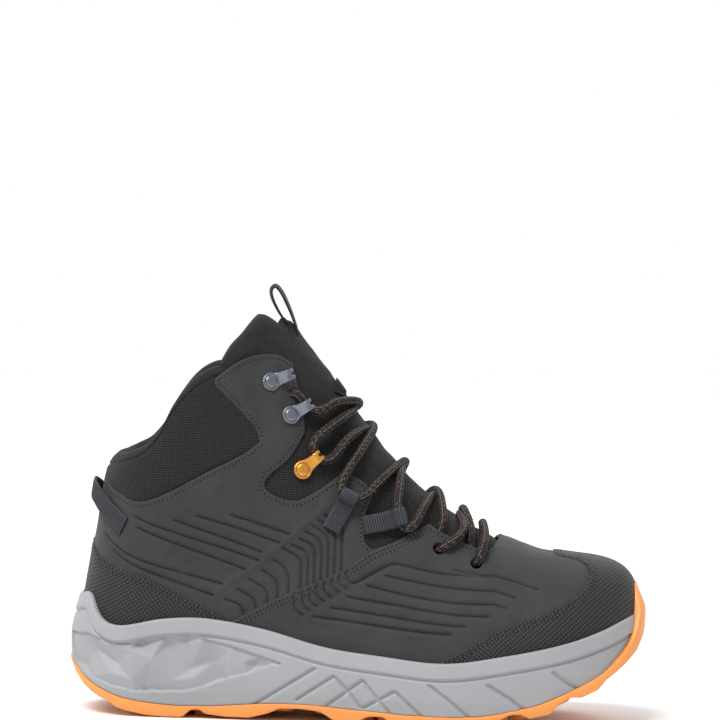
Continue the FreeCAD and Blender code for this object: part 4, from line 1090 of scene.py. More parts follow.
def collar():
    """Padded collar in one skin: mesh outside, rolled edge, lining down to the footbed inside."""
    chart = HEEL_CHART
    top_of = chart_function(chart, COLLAR_TOP + [COLLAR_BACK])
    low_of = chart_function(chart, [(-56.6, 143)] + [(x, z - 5.5) for x, z in reversed(TOP_BACK)]
                            + [(-140, 117.5)])
    a = np.linspace(-COLLAR_REACH, COLLAR_REACH, 150)
    top = top_of(a)
    low = np.minimum(low_of(a), top - 7)
    inner_low = height_on(a, np.interp(np.abs(a), [0, 40, COLLAR_REACH], [44, 40, 108]))
    rows, depths = [], []
    outer = np.concatenate([np.linspace(0, 0.9, 26), np.linspace(0.925, 1, 7)])
    for t in outer:
        b = low + (top - COLLAR_ROLL - low) * t
        from_top = top - b
        puff = 1.5 * np.sin(math.pi * np.clip(t * 0.97, 0, 1))**0.7
        seam = -0.75 * valley(np.abs(from_top - 6.2), 1.5)
        rows.append(b)
        depths.append(-0.5 + puff + seam - 0.5 * (1 - min(t * 8, 1)))
    for angle in np.linspace(12, 168, 9):
        turn = math.radians(angle)
        rows.append(top - COLLAR_ROLL + COLLAR_ROLL * math.sin(turn))
        depths.append(np.full(len(a), -0.5 - COLLAR_ROLL * (1 - math.cos(turn))))
    for t in np.linspace(0.02, 1, 40):
        b = top - COLLAR_ROLL + (inner_low - top + COLLAR_ROLL) * t
        swell = 1.6 * math.sin(math.pi * min(t * 1.8, 1.0))
        rows.append(b)
        depths.append(-0.5 - COLLAR_THICK - swell + 2.4 * smoothstep(0.45, 0.75, t))
    points, flat = [], []
    for b, depth in zip(rows, depths):
        ab = np.stack([a, b], 1)
        flat_points, n = chart.place(ab)
        wrinkle = 0.25 * ripple(flat_points, 17, 11) + 0.12 * ripple(flat_points, 6, 12)
        depth = np.broadcast_to(depth, a.shape)
        for side in (LATERAL, MEDIAL):
            loop = QUARTER_LOOPS[side]
            within = inside(ab, loop) * smoothstep(0, 3.5, distance_to(ab, [loop]))
            tucked = depth * (1 - within) + COLLAR_TUCK * within
            depth = np.where(depth > COLLAR_TUCK, tucked, depth)
        points.append(flat_points + n * (depth + wrinkle)[:, None])
        flat.append(ab)
    outer_count = len(outer) + 2
    obj = grid_object("collar", np.array(points), MATERIALS["mesh_cloth"], np.array(flat))
    obj.data.materials.append(MATERIALS["lining_cloth"])
    across = len(a) - 1
    for polygon in obj.data.polygons:
        row = polygon.index // across
        polygon.material_index = 1 if row >= outer_count else 0
    settle(obj, "boot", "mesh_textile", "collar_textile", "collar_foam", "collar_lining")
    return obj


def tongue():
    """Padded tongue with wings, a closed pillow with a smooth top band above a seam."""
    chart = TONGUE_CHART
    halves = []
    for side in (MEDIAL, LATERAL):
        top = drawn(chart, TONGUE_TOP, side, 1.2)
        back = drawn(chart, TONGUE_BACK, side, 1.2)
        halves.append(np.vstack([top, back[1:]]))
    tip = np.array([[np.mean([halves[0][0][0], halves[1][0][0]]), 0.0]])
    toe = along_path([halves[0][-1], halves[1][-1]], 1.2)
    over = curve_through(np.vstack([halves[1][0], tip, halves[0][0]]), 1.2)
    loop = join_runs(over, halves[0], toe, halves[1][::-1])
    seams = [drawn(chart, TONGUE_SEAM, side) for side in (MEDIAL, LATERAL)]
    join = np.array([seams[0][-1], seams[1][-1]])
    seams.append(along_path(join, 1.0))
    ab, tris, rings = triangulate([loop], [(path, (0.0, 0.8, -0.8)) for path in seams], 1.7, (0.8, 2.0))
    distance = distance_to(ab, rings)
    flat_points, normals = chart.place(ab)
    half = 0.6 + 3.3 * quarter_round(distance, 6.5)
    seam_cut = valley(distance_to(ab, seams), 1.8)
    wave = 0.35 * ripple(flat_points, 20, 21) + 0.15 * ripple(flat_points, 8, 22)
    middle = -5.4
    top_height = middle + half - 0.8 * seam_cut + wave
    low_height = middle - half
    faces, on_edge = two_sided(len(ab), tris)
    top_height[on_edge] = middle
    top_side = flat_points + normals * top_height[:, None]
    low_side = flat_points + normals * low_height[:, None]
    obj = make_object("tongue", np.vstack([top_side, low_side]), faces, MATERIALS["mesh_cloth"],
                      np.vstack([ab, ab]))
    face_out(obj)
    obj.data.materials.append(MATERIALS["smooth_cloth"])
    obj.data.materials.append(MATERIALS["lining_cloth"])
    spine = np.vstack([seams[0], seams[1][::-1]])
    order = np.argsort(spine[:, 1])
    centre = (ab[tris].mean(1))
    limit = np.interp(centre[:, 1], spine[order, 1], spine[order, 0])
    count = len(tris)
    for polygon in obj.data.polygons:
        if polygon.index >= count:
            polygon.material_index = 2
        elif centre[polygon.index, 0] < limit[polygon.index]:
            polygon.material_index = 1
    settle(obj, "boot", "mesh_textile", "tongue_cover", "tongue_foam", "tongue_lining")
    return obj


# ================================================================ sole
SOLE_HALF = {
    LATERAL: [(-154, 40), (-110, 40.5), (-60, 41.5), (-20, 46), (20, 53.5), (50, 57.8), (80, 56.6),
              (110, 52), (151, 47)],
    MEDIAL: [(-154, 40), (-110, 40.5), (-60, 40.5), (-20, 41), (20, 47.6), (50, 54.2), (80, 57),
             (110, 55.4), (151, 52)],
}
SOLE_HEEL_ROUND, SOLE_TOE_ROUND = 42.0, 62.0
OUTSOLE_ENDS, MIDSOLE_ENDS = (-153.9, 151.0), (-153.6, 146.6)
MIDSOLE_HIGH = [(-153.6, 60.5), (-151, 62.6), (-148.5, 63.4), (-146, 61.6), (-142, 55.4),
                (-138.2, 51.4), (-132.1, 48.4), (-124.6, 48.1), (-104.2, 52.2), (-82.4, 53.1),
                (-52.1, 48.6), (-19.3, 40.4), (9.8, 37.1), (42.7, 34.8), (75.1, 39.4), (107.3, 46),
                (128.8, 52.9), (140, 57.6), (146.6, 60.5)]
MIDSOLE_LOW = [(-153.6, 27), (-149.8, 23.4), (-145.3, 18.7), (-137.6, 14.2), (-126.7, 10.1),
               (-104.9, 7), (-83.2, 6.5), (-50.9, 9), (-29.3, 9.4), (-7.6, 8.3), (27.4, 6.6),
               (59.8, 7.2), (86.7, 12.1), (108.1, 19.8), (129.4, 30.7), (141.5, 43), (146.6, 57)]
GROUND_LINE = [(-153.9, 26), (-151.2, 20.3), (-147.8, 15.4), (-140, 9.4), (-129.3, 4.2), (-118, 0.6),
               (-112, 0), (-82, 0), (-70, 1.6), (-45, 3.6), (-25, 3.8), (-5, 1.6), (8, 0), (68, 0),
               (80, 3.2), (92, 7), (108, 13.2), (124, 21.5), (137.1, 31.5), (146, 42), (150.8, 55)]


def sole_half(x, side, ends):
    """Half the sole's width on one side, rounded off towards its two ends."""
    back, front = ends
    rounded = end_round(x - back, SOLE_HEEL_ROUND) * end_round(front - x, SOLE_TOE_ROUND)
    return through(SOLE_HALF[side], x) * rounded


class SoleRing:
    """Plan outline of the sole, walked from the heel's middle round the toe and back."""

    def __init__(self, ends, step=1.4):
        self.ends = back, front = ends
        heel, toe = SOLE_HEEL_ROUND, SOLE_TOE_ROUND
        theta_heel = np.linspace(0, 1, 84)
        theta_toe = np.linspace(0, 1, 100)
        x_heel = back + heel * (1 - np.sin((1 - theta_heel) * math.pi / 2))
        x_toe = front - toe * (1 - np.sin(theta_toe * math.pi / 2))
        x_mid = np.arange(back + heel + step, front - toe - step / 2, step)
        self.half_x = np.concatenate([x_heel, x_mid, x_toe])
        self.x = np.concatenate([self.half_x, self.half_x[-2:0:-1]])
        self.side = np.concatenate([np.full(len(self.half_x), LATERAL),
                                    np.full(len(self.half_x) - 2, MEDIAL)])

    def at(self, inset):
        """Points (x, y) of the outline moved in by inset (a number or one per point)."""
        x = self.x
        half = np.where(self.side == LATERAL, sole_half(x, LATERAL, self.ends),
                        sole_half(x, MEDIAL, self.ends))
        base = np.stack([x, half * self.side + toe_swing(x)], 1)
        tangent = np.roll(base, -1, 0) - np.roll(base, 1, 0)
        normal = unit(np.stack([tangent[:, 1], -tangent[:, 0]], 1))
        normal[(base * normal).sum(1) < 0] *= -1
        return base - normal * np.broadcast_to(inset, (len(x),))[:, None]


# facets of the heel relief, in side view
LENS = [(-153, 41.5), (-143, 42.2), (-131.1, 38.3), (-119.2, 39.2), (-102.8, 42.5), (-85.3, 43.1),
        (-81.7, 42.2), (-67.3, 38.9), (-53, 34.5), (-39.7, 30.6), (-29, 26)]
LENS_LOW = [(-151, 27), (-142, 20), (-130, 15.8), (-118, 13.6), (-92, 14.6), (-82.5, 17.1),
            (-68.4, 22.8), (-59, 25), (-47, 30)]
FACET_DEPTH = 1.5
# corners of the cut-gem relief: (x, z, depth)
FACET_CORNERS = [(-151.2, 36.5, 0.4), (-140.2, 34.0, 2.6), (-132.3, 22.9, 0.5), (-146.1, 25.4, 2.1),
                 (-133.7, 37.4, 0.4), (-128.8, 28.2, 2.7), (-121, 35.2, 0.6), (-117.3, 38.5, 2.3),
                 (-109.9, 30.7, 0.3), (-112.7, 12.9, 2.2), (-87.7, 21.2, 0.4), (-88.9, 26.5, 2.2),
                 (-84, 40.9, 0.4), (-76.6, 30.6, 2.8), (-68.7, 36.6, 0.5), (-73.3, 22.1, 2.5),
                 (-70.3, 18.6, 0.5), (-55.7, 25.0, 1.0), (-55.9, 28.8, 2.3), (-44.7, 29.7, 0.6),
                 (-101, 38.0, 2.4), (-99, 20.0, 0.8), (-120, 19.5, 0.8), (-62, 30.5, 0.7)]
SOLE_GROOVES = [[(-24.2, 28.8), (-55.4, 8.5)], [(-14, 25.3), (-33, 12.2)],
                [(-14, 25.3), (-6.6, 17.9)], [(-6.6, 17.9), (0.2, 9.6)], [(1.1, 23.9), (-17.3, 9.7)],
                [(1.1, 23.9), (9.5, 13.7), (18.3, 4.2)], [(17.9, 18.9), (1.5, 9.4)],
                [(17.9, 18.9), (34, 4.7)], [(36, 22.9), (48, 14), (58.3, 5.6)],
                [(66.3, 24.1), (78, 17), (86, 11.2)], [(100.3, 31.1), (107, 26), (114.3, 21.9)]]
RIM_WIDTH = 8.6


def facet_depth(points):
    """Depth of the flat-faced relief, linear between its corners."""
    rim = [(x, z, 0.9) for x, z in LENS + LENS_LOW]
    corners = np.array(FACET_CORNERS + rim)
    found = delaunay_2d_cdt([Vector(c[:2]) for c in corners], [], [], 0, 1e-4)
    depth = np.zeros(len(points))
    spots = np.array([tuple(v) for v in found[0]])
    depths = np.array([corners[origin[0], 2] for origin in found[3]])
    for triangle in found[2]:
        a, b, c = spots[list(triangle)]
        area = (b[0] - a[0]) * (c[1] - a[1]) - (b[1] - a[1]) * (c[0] - a[0])
        wb = ((points[:, 0] - a[0]) * (c[1] - a[1]) - (points[:, 1] - a[1]) * (c[0] - a[0])) / area
        wc = ((b[0] - a[0]) * (points[:, 1] - a[1]) - (b[1] - a[1]) * (points[:, 0] - a[0])) / area
        hit = (wb >= 0) & (wc >= 0) & (wb + wc <= 1)
        da, db, dc = depths[list(triangle)]
        depth[hit] = (da + wb * (db - da) + wc * (dc - da))[hit]
    return depth


def midsole_relief(x, z, high, low):
    """Outward displacement of the midsole wall at side-view points."""
    points = np.stack([x, z], 1)
    depth = high - z
    rim = 0.9 * (1 - smoothstep(RIM_WIDTH - 0.9, RIM_WIDTH + 0.9, depth)) * smoothstep(-160, -150, x)
    crease = -0.8 * valley(np.abs(depth - RIM_WIDTH - 0.6), 1.4)
    cut = -1.5 * valley(distance_to(points, [along_path(g, 2.0) for g in SOLE_GROOVES]), 1.4)
    upper = np.interp(x, [p[0] for p in LENS], [p[1] for p in LENS])
    lower = np.interp(x, [p[0] for p in LENS_LOW], [p[1] for p in LENS_LOW])
    in_lens = (z < upper) & (z > lower) & (x < -42)
    facet = np.where(in_lens, -FACET_DEPTH * facet_depth(points), 0)
    bulge = 0.7 * np.sin(math.pi * np.clip((z - low) / np.maximum(high - low, 1), 0, 1))
    return rim + crease + cut * (~in_lens) + facet + bulge


def block_inset(z, low_inset):
    return np.interp(z, [-3, 14, 30, 50, 80], [low_inset, 1.0, 0.0, 0.3, 1.5])


def midsole():
    ring = SoleRing(MIDSOLE_ENDS, 0.85)
    high, low = through(MIDSOLE_HIGH, ring.x), through(MIDSOLE_LOW, ring.x)
    heel_tilt = 1 - smoothstep(-150, -120, ring.x)
    rows, flats = [], []
    along = reach_along(ring.at(0))

    def wall(t):
        z = low + (high - low) * t
        xy0 = ring.at(block_inset(z, 4.0))
        out = midsole_relief(xy0[:, 0], z, high, low)
        lean_in = heel_tilt * 3.4 * smoothstep(40, 63, z)
        return z, block_inset(z, 4.0) - out + lean_in

    z_top, inset_top = wall(np.full(len(ring.x), 1.0))
    z_low, inset_low = wall(np.zeros(len(ring.x)))
    profile = [(z_top - 9.0, inset_top + 9.0), (z_top - 3.0, inset_top + 6.0),
               (z_top - 0.7, inset_top + 3.6), (z_top, inset_top + 2.0), (z_top, inset_top + 1.0),
               (z_top - 0.35, inset_top + 0.3)]
    for t in np.linspace(0.985, 0.02, 62):
        profile.append(wall(np.full(len(ring.x), t)))
    profile += [(z_low - 0.1, inset_low + 1.0), (z_low, inset_low + 14), (z_low + 2, inset_low + 26)]
    for z, inset in profile:
        xy = ring.at(inset)
        rows.append(np.column_stack([xy, z]))
        flats.append(np.stack([along, z], 1))
    points = np.array(rows).transpose(1, 0, 2)
    obj = grid_object("midsole_shell", points, MATERIALS["midsole_foam"],
                      np.array(flats).transpose(1, 0, 2), wrap=True)
    return settle(obj, "boot", "midsole_foam", "midsole")


LUG_DEPTH = 4.0
# each row of lugs: (station of its back edge, length along the foot, skew)
TREAD_ROWS = [(-143, 12, 0.12), (-125, 12, 0.1), (-107, 12, 0.1), (-89, 11, 0.1), (-66, 9, 0.05),
              (-44, 9, 0.0), (-22, 9, -0.05), (0, 10, -0.16), (17, 11, -0.2), (35, 11, -0.22),
              (53, 11, -0.22), (71, 11, -0.22), (88, 10, -0.2), (104, 9, -0.18)]
# lower edge of the sole's side, hump by hump
SOLE_EDGE = [(-153.9, 27), (-151, 21), (-146.5, 15.3), (-142.2, 11.7), (-137.9, 9.2), (-133.6, 7.7),
             (-129.3, 4.6), (-125, 3.2), (-112.2, 0.9), (-103.7, 0.3), (-93, 0.3), (-88.6, 4.6),
             (-84.6, 5.0), (-80.6, 2.4), (-69.8, 1.2), (-58.1, 1.2), (-48.6, 3.9), (-42.2, 6.8),
             (-31.8, 7.2), (-21.3, 6.2), (-14.4, 1.8), (-1.9, 1.6), (3.5, 4.9), (11.7, 5.1),
             (16.3, 1.1), (32.1, 0.2), (37.5, 3.6), (44.7, 4.2), (49.2, 1.1), (64.7, 0.9), (71.1, 4.7),
             (78.5, 8.6), (83.7, 8.9), (89.3, 6.6), (99.6, 8.9), (103.8, 14.1), (109.9, 17.8),
             (116.3, 17.6), (124.7, 21.3), (128.9, 26.5), (134, 30.3), (139.1, 34.3), (145.4, 40.4),
             (149.5, 47.8), (151, 55.0)]
BUMPER_EDGE = [(128, 29.9), (134, 35.2), (141.5, 43.6), (145.2, 51.5), (147.4, 60.5), (148.8, 68.5),
               (150, 73.6), (151, 75.0)]
LAND = 11.0                        # the outer lugs' reach in from the sole's side


def lug(corners, ground, sheet):
    """Vertices and faces of one tapered lug with softened ground edges."""
    corners = np.array(corners)
    middle = corners.mean(0)
    levels = [(1.06, sheet + 1.2), (1.03, sheet), (1.0, ground + 0.9), (0.965, ground + 0.25),
              (0.90, ground)]
    rings = []
    for scale, height in levels:
        ring = middle + (corners - middle) * scale
        rings.append(np.column_stack([ring, np.broadcast_to(height, len(ring))]))
    verts = np.vstack(rings)
    n = len(corners)
    faces = []
    for k in range(len(levels) - 1):
        faces += [(k * n + j, k * n + (j + 1) % n, (k + 1) * n + (j + 1) % n, (k + 1) * n + j)
                  for j in range(n)]
    faces.append(tuple((len(levels) - 1) * n + j for j in range(n)))
    faces.append(tuple(reversed(range(n))))
    return verts, faces


def outsole():
    """Rubber sheet with its toe bumper and two rows of lugs on each side."""
    ring = SoleRing(OUTSOLE_ENDS)
    low = np.interp(ring.x, *np.array(SOLE_EDGE).T)
    sheet = np.maximum(through(GROUND_LINE, ring.x) + LUG_DEPTH, low + 1.0)
    high = np.where(ring.x < 128, through(MIDSOLE_LOW, ring.x) + 0.3, through(BUMPER_EDGE, ring.x))
    high = np.maximum(high, low + 2.0)
    bumper = smoothstep(136, 147, ring.x)
    wall = 3.4
    rows = []
    span = high - low
    sections = [(high - 3.0, wall + 2.2), (high - 0.4, wall), (high, wall - 0.9), (high, 0.9),
                (high - 0.4, 0.25)]
    for t in np.linspace(0.96, 0.04, 14):
        sections.append((low + span * t, -0.35 * math.sin(math.pi * t)))
    sections += [(low + 0.3, 0.25), (low, 0.9), (low, LAND - 2), (low + 0.3, LAND - 0.6),
                 (sheet - 0.4, LAND + 0.8), (sheet, LAND + 1.8), (sheet, 24.0), (sheet + 0.5, 34.0)]
    for z, inset in sections:
        top_lean = 4.4 * bumper * smoothstep(60, 76, z)
        xy = ring.at(block_inset(z, 4.6) + inset + top_lean)
        rows.append(np.column_stack([xy, np.broadcast_to(z, len(xy))]))
    points = np.array(rows).transpose(1, 0, 2)
    n, m = points.shape[:2]
    verts = [points.reshape(-1, 3)]
    faces = quads(n, m, True)
    half = len(ring.half_x)
    for i in range(half - 1):
        a, b = i, i + 1
        c, d = (n - i - 1) % n, (n - i) % n
        faces.append((a * m + m - 1, b * m + m - 1, c * m + m - 1, d * m + m - 1))
    first = n * m
    for x0, length, skew in TREAD_ROWS:
        for side in (LATERAL, MEDIAL):
            half_width = float(sole_half(x0 + length / 2, side, OUTSOLE_ENDS)) - LAND - 6.5
            split = half_width * 0.52
            for y0, y1 in ((3.0, split - 2.4), (split + 2.4, half_width)):
                shape = []
                for along, across in ((0, y0), (0, (y0 + y1) / 2), (0, y1), (0.5, y1 + 0.8), (1, y1),
                                      (1, (y0 + y1) / 2), (1, y0), (0.5, y0 - 0.6)):
                    slant = skew * across * (1 - 0.4 * along)
                    bow = 0.8 * math.sin(math.pi * (across - y0) / (y1 - y0)) * (1 if along > 0.5 else 0)
                    x = x0 + slant + length * along + bow
                    shape.append((x, float(toe_swing(x)) + side * across))
                xs = np.array([p[0] for p in shape])
                ground = through(GROUND_LINE, xs)
                lug_verts, lug_faces = lug(shape, ground, ground + LUG_DEPTH)
                verts.append(lug_verts)
                faces += [tuple(first + v for v in f) for f in lug_faces]
                first += len(lug_verts)
    obj = make_object("outsole_rubber", np.vstack(verts), faces, MATERIALS["outsole_rubber"])
    face_out(obj)
    return settle(obj, "boot", "outsole_rubber", "outsole")


# ================================================================ fittings
HOOKS = {"hook_top": ((-52.2, 177.1), (-40.6, 181.2)),
         "hook_second": ((-41.1, 160), (-30.6, 165.6)),
         "ankle_hook": ((-33.9, 131.6), (-25.6, 139.2))}
LOOPS = {"lace_loop_upper": ((-17.1, 102.5), (-9.2, 117.5)),
         "lace_loop_lower": ((1.2, 103.6), (17.5, 106.5))}
LACE_RADIUS = 2.4


def on_form(x, z, side, lift=0.0):
    """Point and outward normal of the form where side view shows (x, z)."""
    u, s = skin.find([(x, z)], side)
    n = skin.normal(u, s)[0]
    return skin.at(u, s)[0] + n * lift, n


def frame_at(base, tip, side):
    """Point, forward, upward and outward directions of a fitting on the form."""
    point, normal = on_form(base[0], base[1], side)
    ahead = on_form(tip[0], tip[1], side)[0] - point
    ahead = unit(ahead - normal * (ahead @ normal))
    across = np.cross(normal, ahead)
    if across[2] < 0:
        across = -across
    return point, ahead, across, normal


def fitted(local, base, tip, side):
    """Points drawn with X forward, Y across and Z outward, set on the form."""
    point, ahead, _, normal = frame_at(base, tip, side)
    across = np.cross(normal, ahead)
    local = np.asarray(local, float)
    return point + local[:, :1] * ahead + local[:, 1:2] * across + local[:, 2:] * normal


HOOK_SEAT = 1.15                   # the visible leather stands this far off the form
HOOK_REACH, HOOK_CLEAR, HOOK_PLATE = 12.3, 5.8, 1.3


def hook_outline():
    """Teardrop plate with a notched tip."""
    turn = np.radians(np.linspace(48, 312, 34))
    disc = np.stack([5.0 * np.cos(turn), 5.0 * np.sin(turn)], 1)
    lower = [(5.4, -3.35), (7.5, -2.95), (9.8, -2.9), (11.6, -3.0), (HOOK_REACH, -2.5), (HOOK_REACH, -1.0),
             (10.6, -0.85), (10.2, 0.0)]
    upper = [(x, -y) for x, y in lower[-2::-1]]
    return np.vstack([disc, lower, upper])


def hook_lift(x):
    return (HOOK_CLEAR - 1.0) * smoothstep(3.2, 8.2, x) - 0.5 * smoothstep(10.4, 12.3, x)


def hook(name, side, material, slot_name):
    base, tip = HOOKS[name]
    outline = along_path(np.vstack([hook_outline(), hook_outline()[:1]]), 0.5)[:-1]
    ab, tris, rings = triangulate([outline], [], 0.75, (0.3, 0.7))
    distance = distance_to(ab, rings)
    thick = HOOK_PLATE
    profile = quarter_round(distance, 0.55)
    centre = np.linalg.norm(ab, axis=1)
    dish = -0.35 * smoothstep(4.6, 4.2, centre) * (centre < 4.7)
    channel = -0.35 * valley(ab[:, 1], 1.7) * smoothstep(4.5, 6.5, ab[:, 0])
    lift = hook_lift(ab[:, 0])
    top = lift + thick * (0.5 + 0.5 * profile) + dish + channel
    low = lift + thick * (0.5 - 0.5 * profile)
    faces, on_edge = two_sided(len(ab), tris)
    top[on_edge] = (lift + thick * 0.5)[on_edge]
    local = np.vstack([np.column_stack([ab, top]), np.column_stack([ab, low])])
    local[:, 2] += HOOK_SEAT
    title = "%s_%s" % (name, SIDE_NAME[side])
    obj = make_object(title, fitted(local, base, tip, side), faces, material)
    face_out(obj)
    return settle(obj, "boot", slot_name, title)


RIVET_PROFILE = [(0, 1.75), (1.4, 1.72), (2.6, 1.6), (3.25, 1.32), (3.45, 1.0), (3.5, 0.75), (3.62, 0.7),
                 (3.75, 0.95), (4.0, 1.1), (4.3, 1.05), (4.45, 0.8), (4.45, -0.4)]


def rivet_points(height):
    turn = np.linspace(0, 2 * math.pi, 40, endpoint=False)
    return np.array([[(r * math.cos(t), r * math.sin(t), z + height) for r, z in RIVET_PROFILE]
                     for t in turn])


def rivets(name, hook_names, material, slot_name):
    """Domed rivet heads, one on each hook's base."""
    verts, faces, first = [], [], 0
    for hook_name in hook_names:
        for side in (LATERAL, MEDIAL):
            rings = rivet_points(HOOK_SEAT + 0.35)
            n, m = rings.shape[:2]
            verts.append(fitted(rings.reshape(-1, 3), *HOOKS[hook_name], side))
            faces += quads(n, m, True, first)
            first += n * m
    obj = make_object(name, np.vstack(verts), faces, material)
    weld(obj, 0.001)
    face_out(obj)
    return settle(obj, "boot", slot_name, name)


STRAP_COLUMNS = 10


def strap_section(points, tangents, normals, width, thick, ribs, pitch):
    """Rows of a closed flat strap section along a path; ribs stand across the strap."""
    side = unit(np.cross(tangents, normals))
    reach = reach_along(points)
    rib = ribs * np.cos(2 * math.pi * reach / pitch)
    offsets = np.linspace(-1, 1, STRAP_COLUMNS)
    shape = [(w, 1) for w in offsets] + [(1.02, 0.0)] + [(w, -1) for w in offsets[::-1]] + [(-1.02, 0.0)]
    rows = []
    for w, face in shape:
        edge = 1 - abs(w)**8 * 0.35
        height = face * (thick / 2 * edge) + (rib * face * (1 - abs(w)**6) if face else 0)
        height = np.broadcast_to(height, reach.shape)
        rows.append(points + side * (w * width / 2) + normals * height[:, None])
    return np.array(rows), reach


def strap_object(name, points, normals, width, thick, material, ribs, pitch):
    """Closed flat strap along a path, with the drawing coordinates of its length and width."""
    tangents = np.gradient(points, axis=0)
    tangents /= np.linalg.norm(tangents, axis=1, keepdims=True)
    normals = normals - tangents * np.einsum("ij,ij->i", normals, tangents)[:, None]
    normals = unit(normals)
    rows, reach = strap_section(points, tangents, normals, width, thick, ribs, pitch)
    count = len(rows)
    flat = np.zeros(rows.shape[:2] + (2,))
    flat[..., 0] = reach[None, :]
    flat[..., 1] = np.linspace(0, 2 * width, count)[:, None]
    return grid_object(name, rows, material, flat, wrap=True, ends=True)


def webbing_loop(name, side):
    """Folded webbing: two plies on the leather that open into an eye for the lace."""
    base, tip = LOOPS[name]
    length = math.hypot(tip[0] - base[0], tip[1] - base[1])
    eye = LACE_RADIUS + 0.9
    lower, upper = HOOK_SEAT + 0.1, HOOK_SEAT + 1.75
    mid = HOOK_SEAT + 0.35 + eye
    path = [(-3.0, 0, lower), (length * 0.35, 0, lower), (length - 3.4, 0, lower)]
    for angle in np.linspace(-75, 160, 12):
        turn = math.radians(angle)
        path.append((length + eye * math.cos(turn), 0, mid + eye * math.sin(turn)))
    path += [(length - 4.6, 0, upper + 1.6), (length * 0.45, 0, upper), (-2.4, 0, upper)]
    local = curve_through(path, 0.24)
    tangents = np.gradient(local, axis=0)
    normals = np.stack([-tangents[:, 2], 0 * tangents[:, 0], tangents[:, 0]], 1)
    placed = fitted(local, base, tip, side)
    placed_normals = fitted(local + normals, base, tip, side) - placed
    title = "%s_%s" % (name, SIDE_NAME[side])
    obj = strap_object(title, placed, placed_normals, 9.6, 1.2, MATERIALS["webbing"], 0.22, RIB_PITCH)
    return settle(obj, "boot", "webbing", title)


def heel_strap():
    """Webbing band from one side round behind the heel, standing off in the middle."""
    chart = HEEL_CHART
    end = [chart.draw([(-125.6, 99.6)], side)[0] for side in (LATERAL, MEDIAL)]
    before = [chart.draw([(-133.5, 107.6)], side)[0] for side in (LATERAL, MEDIAL)]
    crown = float(height_on(np.array([0.5]), 116.8)[0])
    control = np.array([end[0], before[0], (0.0, crown), before[1], end[1]])
    path = curve_through(control, 0.3)
    share = np.clip(1 - np.abs(path[:, 0]) / abs(end[0][0]), 0, 1)
    lift = 1.75 + 4.2 * smoothstep(0.12, 0.9, share)
    points, normals = chart.place(path, lift)
    obj = strap_object("heel_pull_loop_band", points, normals, 10.2, 1.4, MATERIALS["webbing"], 0.12,
                       RIB_PITCH)
    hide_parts("heel_pull_loop")
    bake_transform(obj)
    return obj


PULL_LINE = [(-38.4, 200.6), (-39.6, 205.2), (-42.0, 211.6), (-44.9, 218.0), (-48.2, 224.0),
             (-51.2, 226.6), (-53.3, 224.6), (-52.8, 220.4), (-50.0, 214.6), (-46.6, 209.4),
             (-43.2, 205.2), (-40.6, 201.8)]


def tongue_pull():
    """Narrow tape sewn into the tongue's top seam and folded into a loop."""
    line = curve_through(PULL_LINE, 0.4)
    points = np.stack([line[:, 0], np.zeros(len(line)), line[:, 1]], 1)
    tangents = np.gradient(points, axis=0)
    normals = np.stack([-tangents[:, 2], 0 * tangents[:, 0], tangents[:, 0]], 1)
    twist = np.radians(7 * np.sin(np.linspace(0, math.pi, len(points))))
    normals = unit(normals)
    normals[:, 1] = np.sin(twist)
    obj = strap_object("tongue_pull_tape", points, normals, 10.4, 1.1, MATERIALS["tape"], 0.05, 0.8)
    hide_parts("tongue_pull_loop")
    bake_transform(obj)
    return obj


# ================================================================ lace
# One half of the lace, from the middle of the lowest bar to its tucked end.
LACE_HALF = [
    ("skin", 62.5, 95, 1, 4.6), ("skin", 60.4, 87.5, 1, 6.0), ("skin", 58.7, 84.5, 1, -1.5),
    ("skin", 57.0, 90, 1, -4.2), ("skin", 56.0, 95, 1, -1.5), ("skin", 55.3, 99.5, 1, 3.4),
    ("ridge", 48.0, -1),
    ("skin", 51.2, 100, -1, 4.8), ("skin", 47.5, 94.6, -1, 5.6), ("skin", 41.5, 92.2, -1, 4.4),
    ("skin", 38.9, 91.9, -1, -1.5), ("skin", 38.6, 96, -1, -4.0), ("skin", 39.8, 101, -1, -1.0),
    ("skin", 40.2, 105.5, -1, 3.8), ("ridge", 35.0, 1),
    ("skin", 29.5, 112.5, 1, 4.4), ("lace_loop_lower", 1, 23.0, -6.5, 5.2),
    ("lace_loop_lower", 1, 17.5, -6.5, 4.6), ("lace_loop_lower", 1, 16.6, 0.5, 4.4),
    ("lace_loop_lower", 1, 17.5, 8.2, 4.8), ("skin", 15.5, 124.5, 1, 5.0), ("ridge", 18.0, 1),
    ("skin", 6.5, 125.5, -1, 4.4), ("lace_loop_upper", -1, 19.6, -7.0, 4.9),
    ("lace_loop_upper", -1, 17.0, 0.0, 4.4), ("lace_loop_upper", -1, 19.0, 8.0, 4.8),
    ("skin", -5.0, 140.5, -1, 5.0), ("ridge", 1.5, 1),
    ("skin", -12.0, 148, 1, 4.6), ("ankle_hook", 1, 13.6, -7.0, 4.2), ("ankle_hook", 1, 9.6, 0.0, 2.75),
    ("ankle_hook", 1, 13.0, 8.6, 4.6),
    ("skin", -16.0, 156.5, 1, 4.6), ("ridge", -6.0, 1),
    ("skin", -19.0, 166, -1, 4.6), ("hook_second", -1, 14.0, -6.4, 4.2),
    ("hook_second", -1, 9.6, 0.0, 2.75), ("hook_second", -1, 8.4, 9.4, 3.0),
    ("skin", -42.0, 169.5, -1, -2.8), ("skin", -48.5, 162, -1, -2.8), ("skin", -50.5, 152.5, -1, -3.6),
]
CROSS_LIFT = {1: 6.0, -1: 1.5}
CROSS_DROP = 1.2                   # the bars cross past the ridge, this far down the medial side
LACE_MIDDLE, MIDDLE_LIFT = 62.0, 4.2


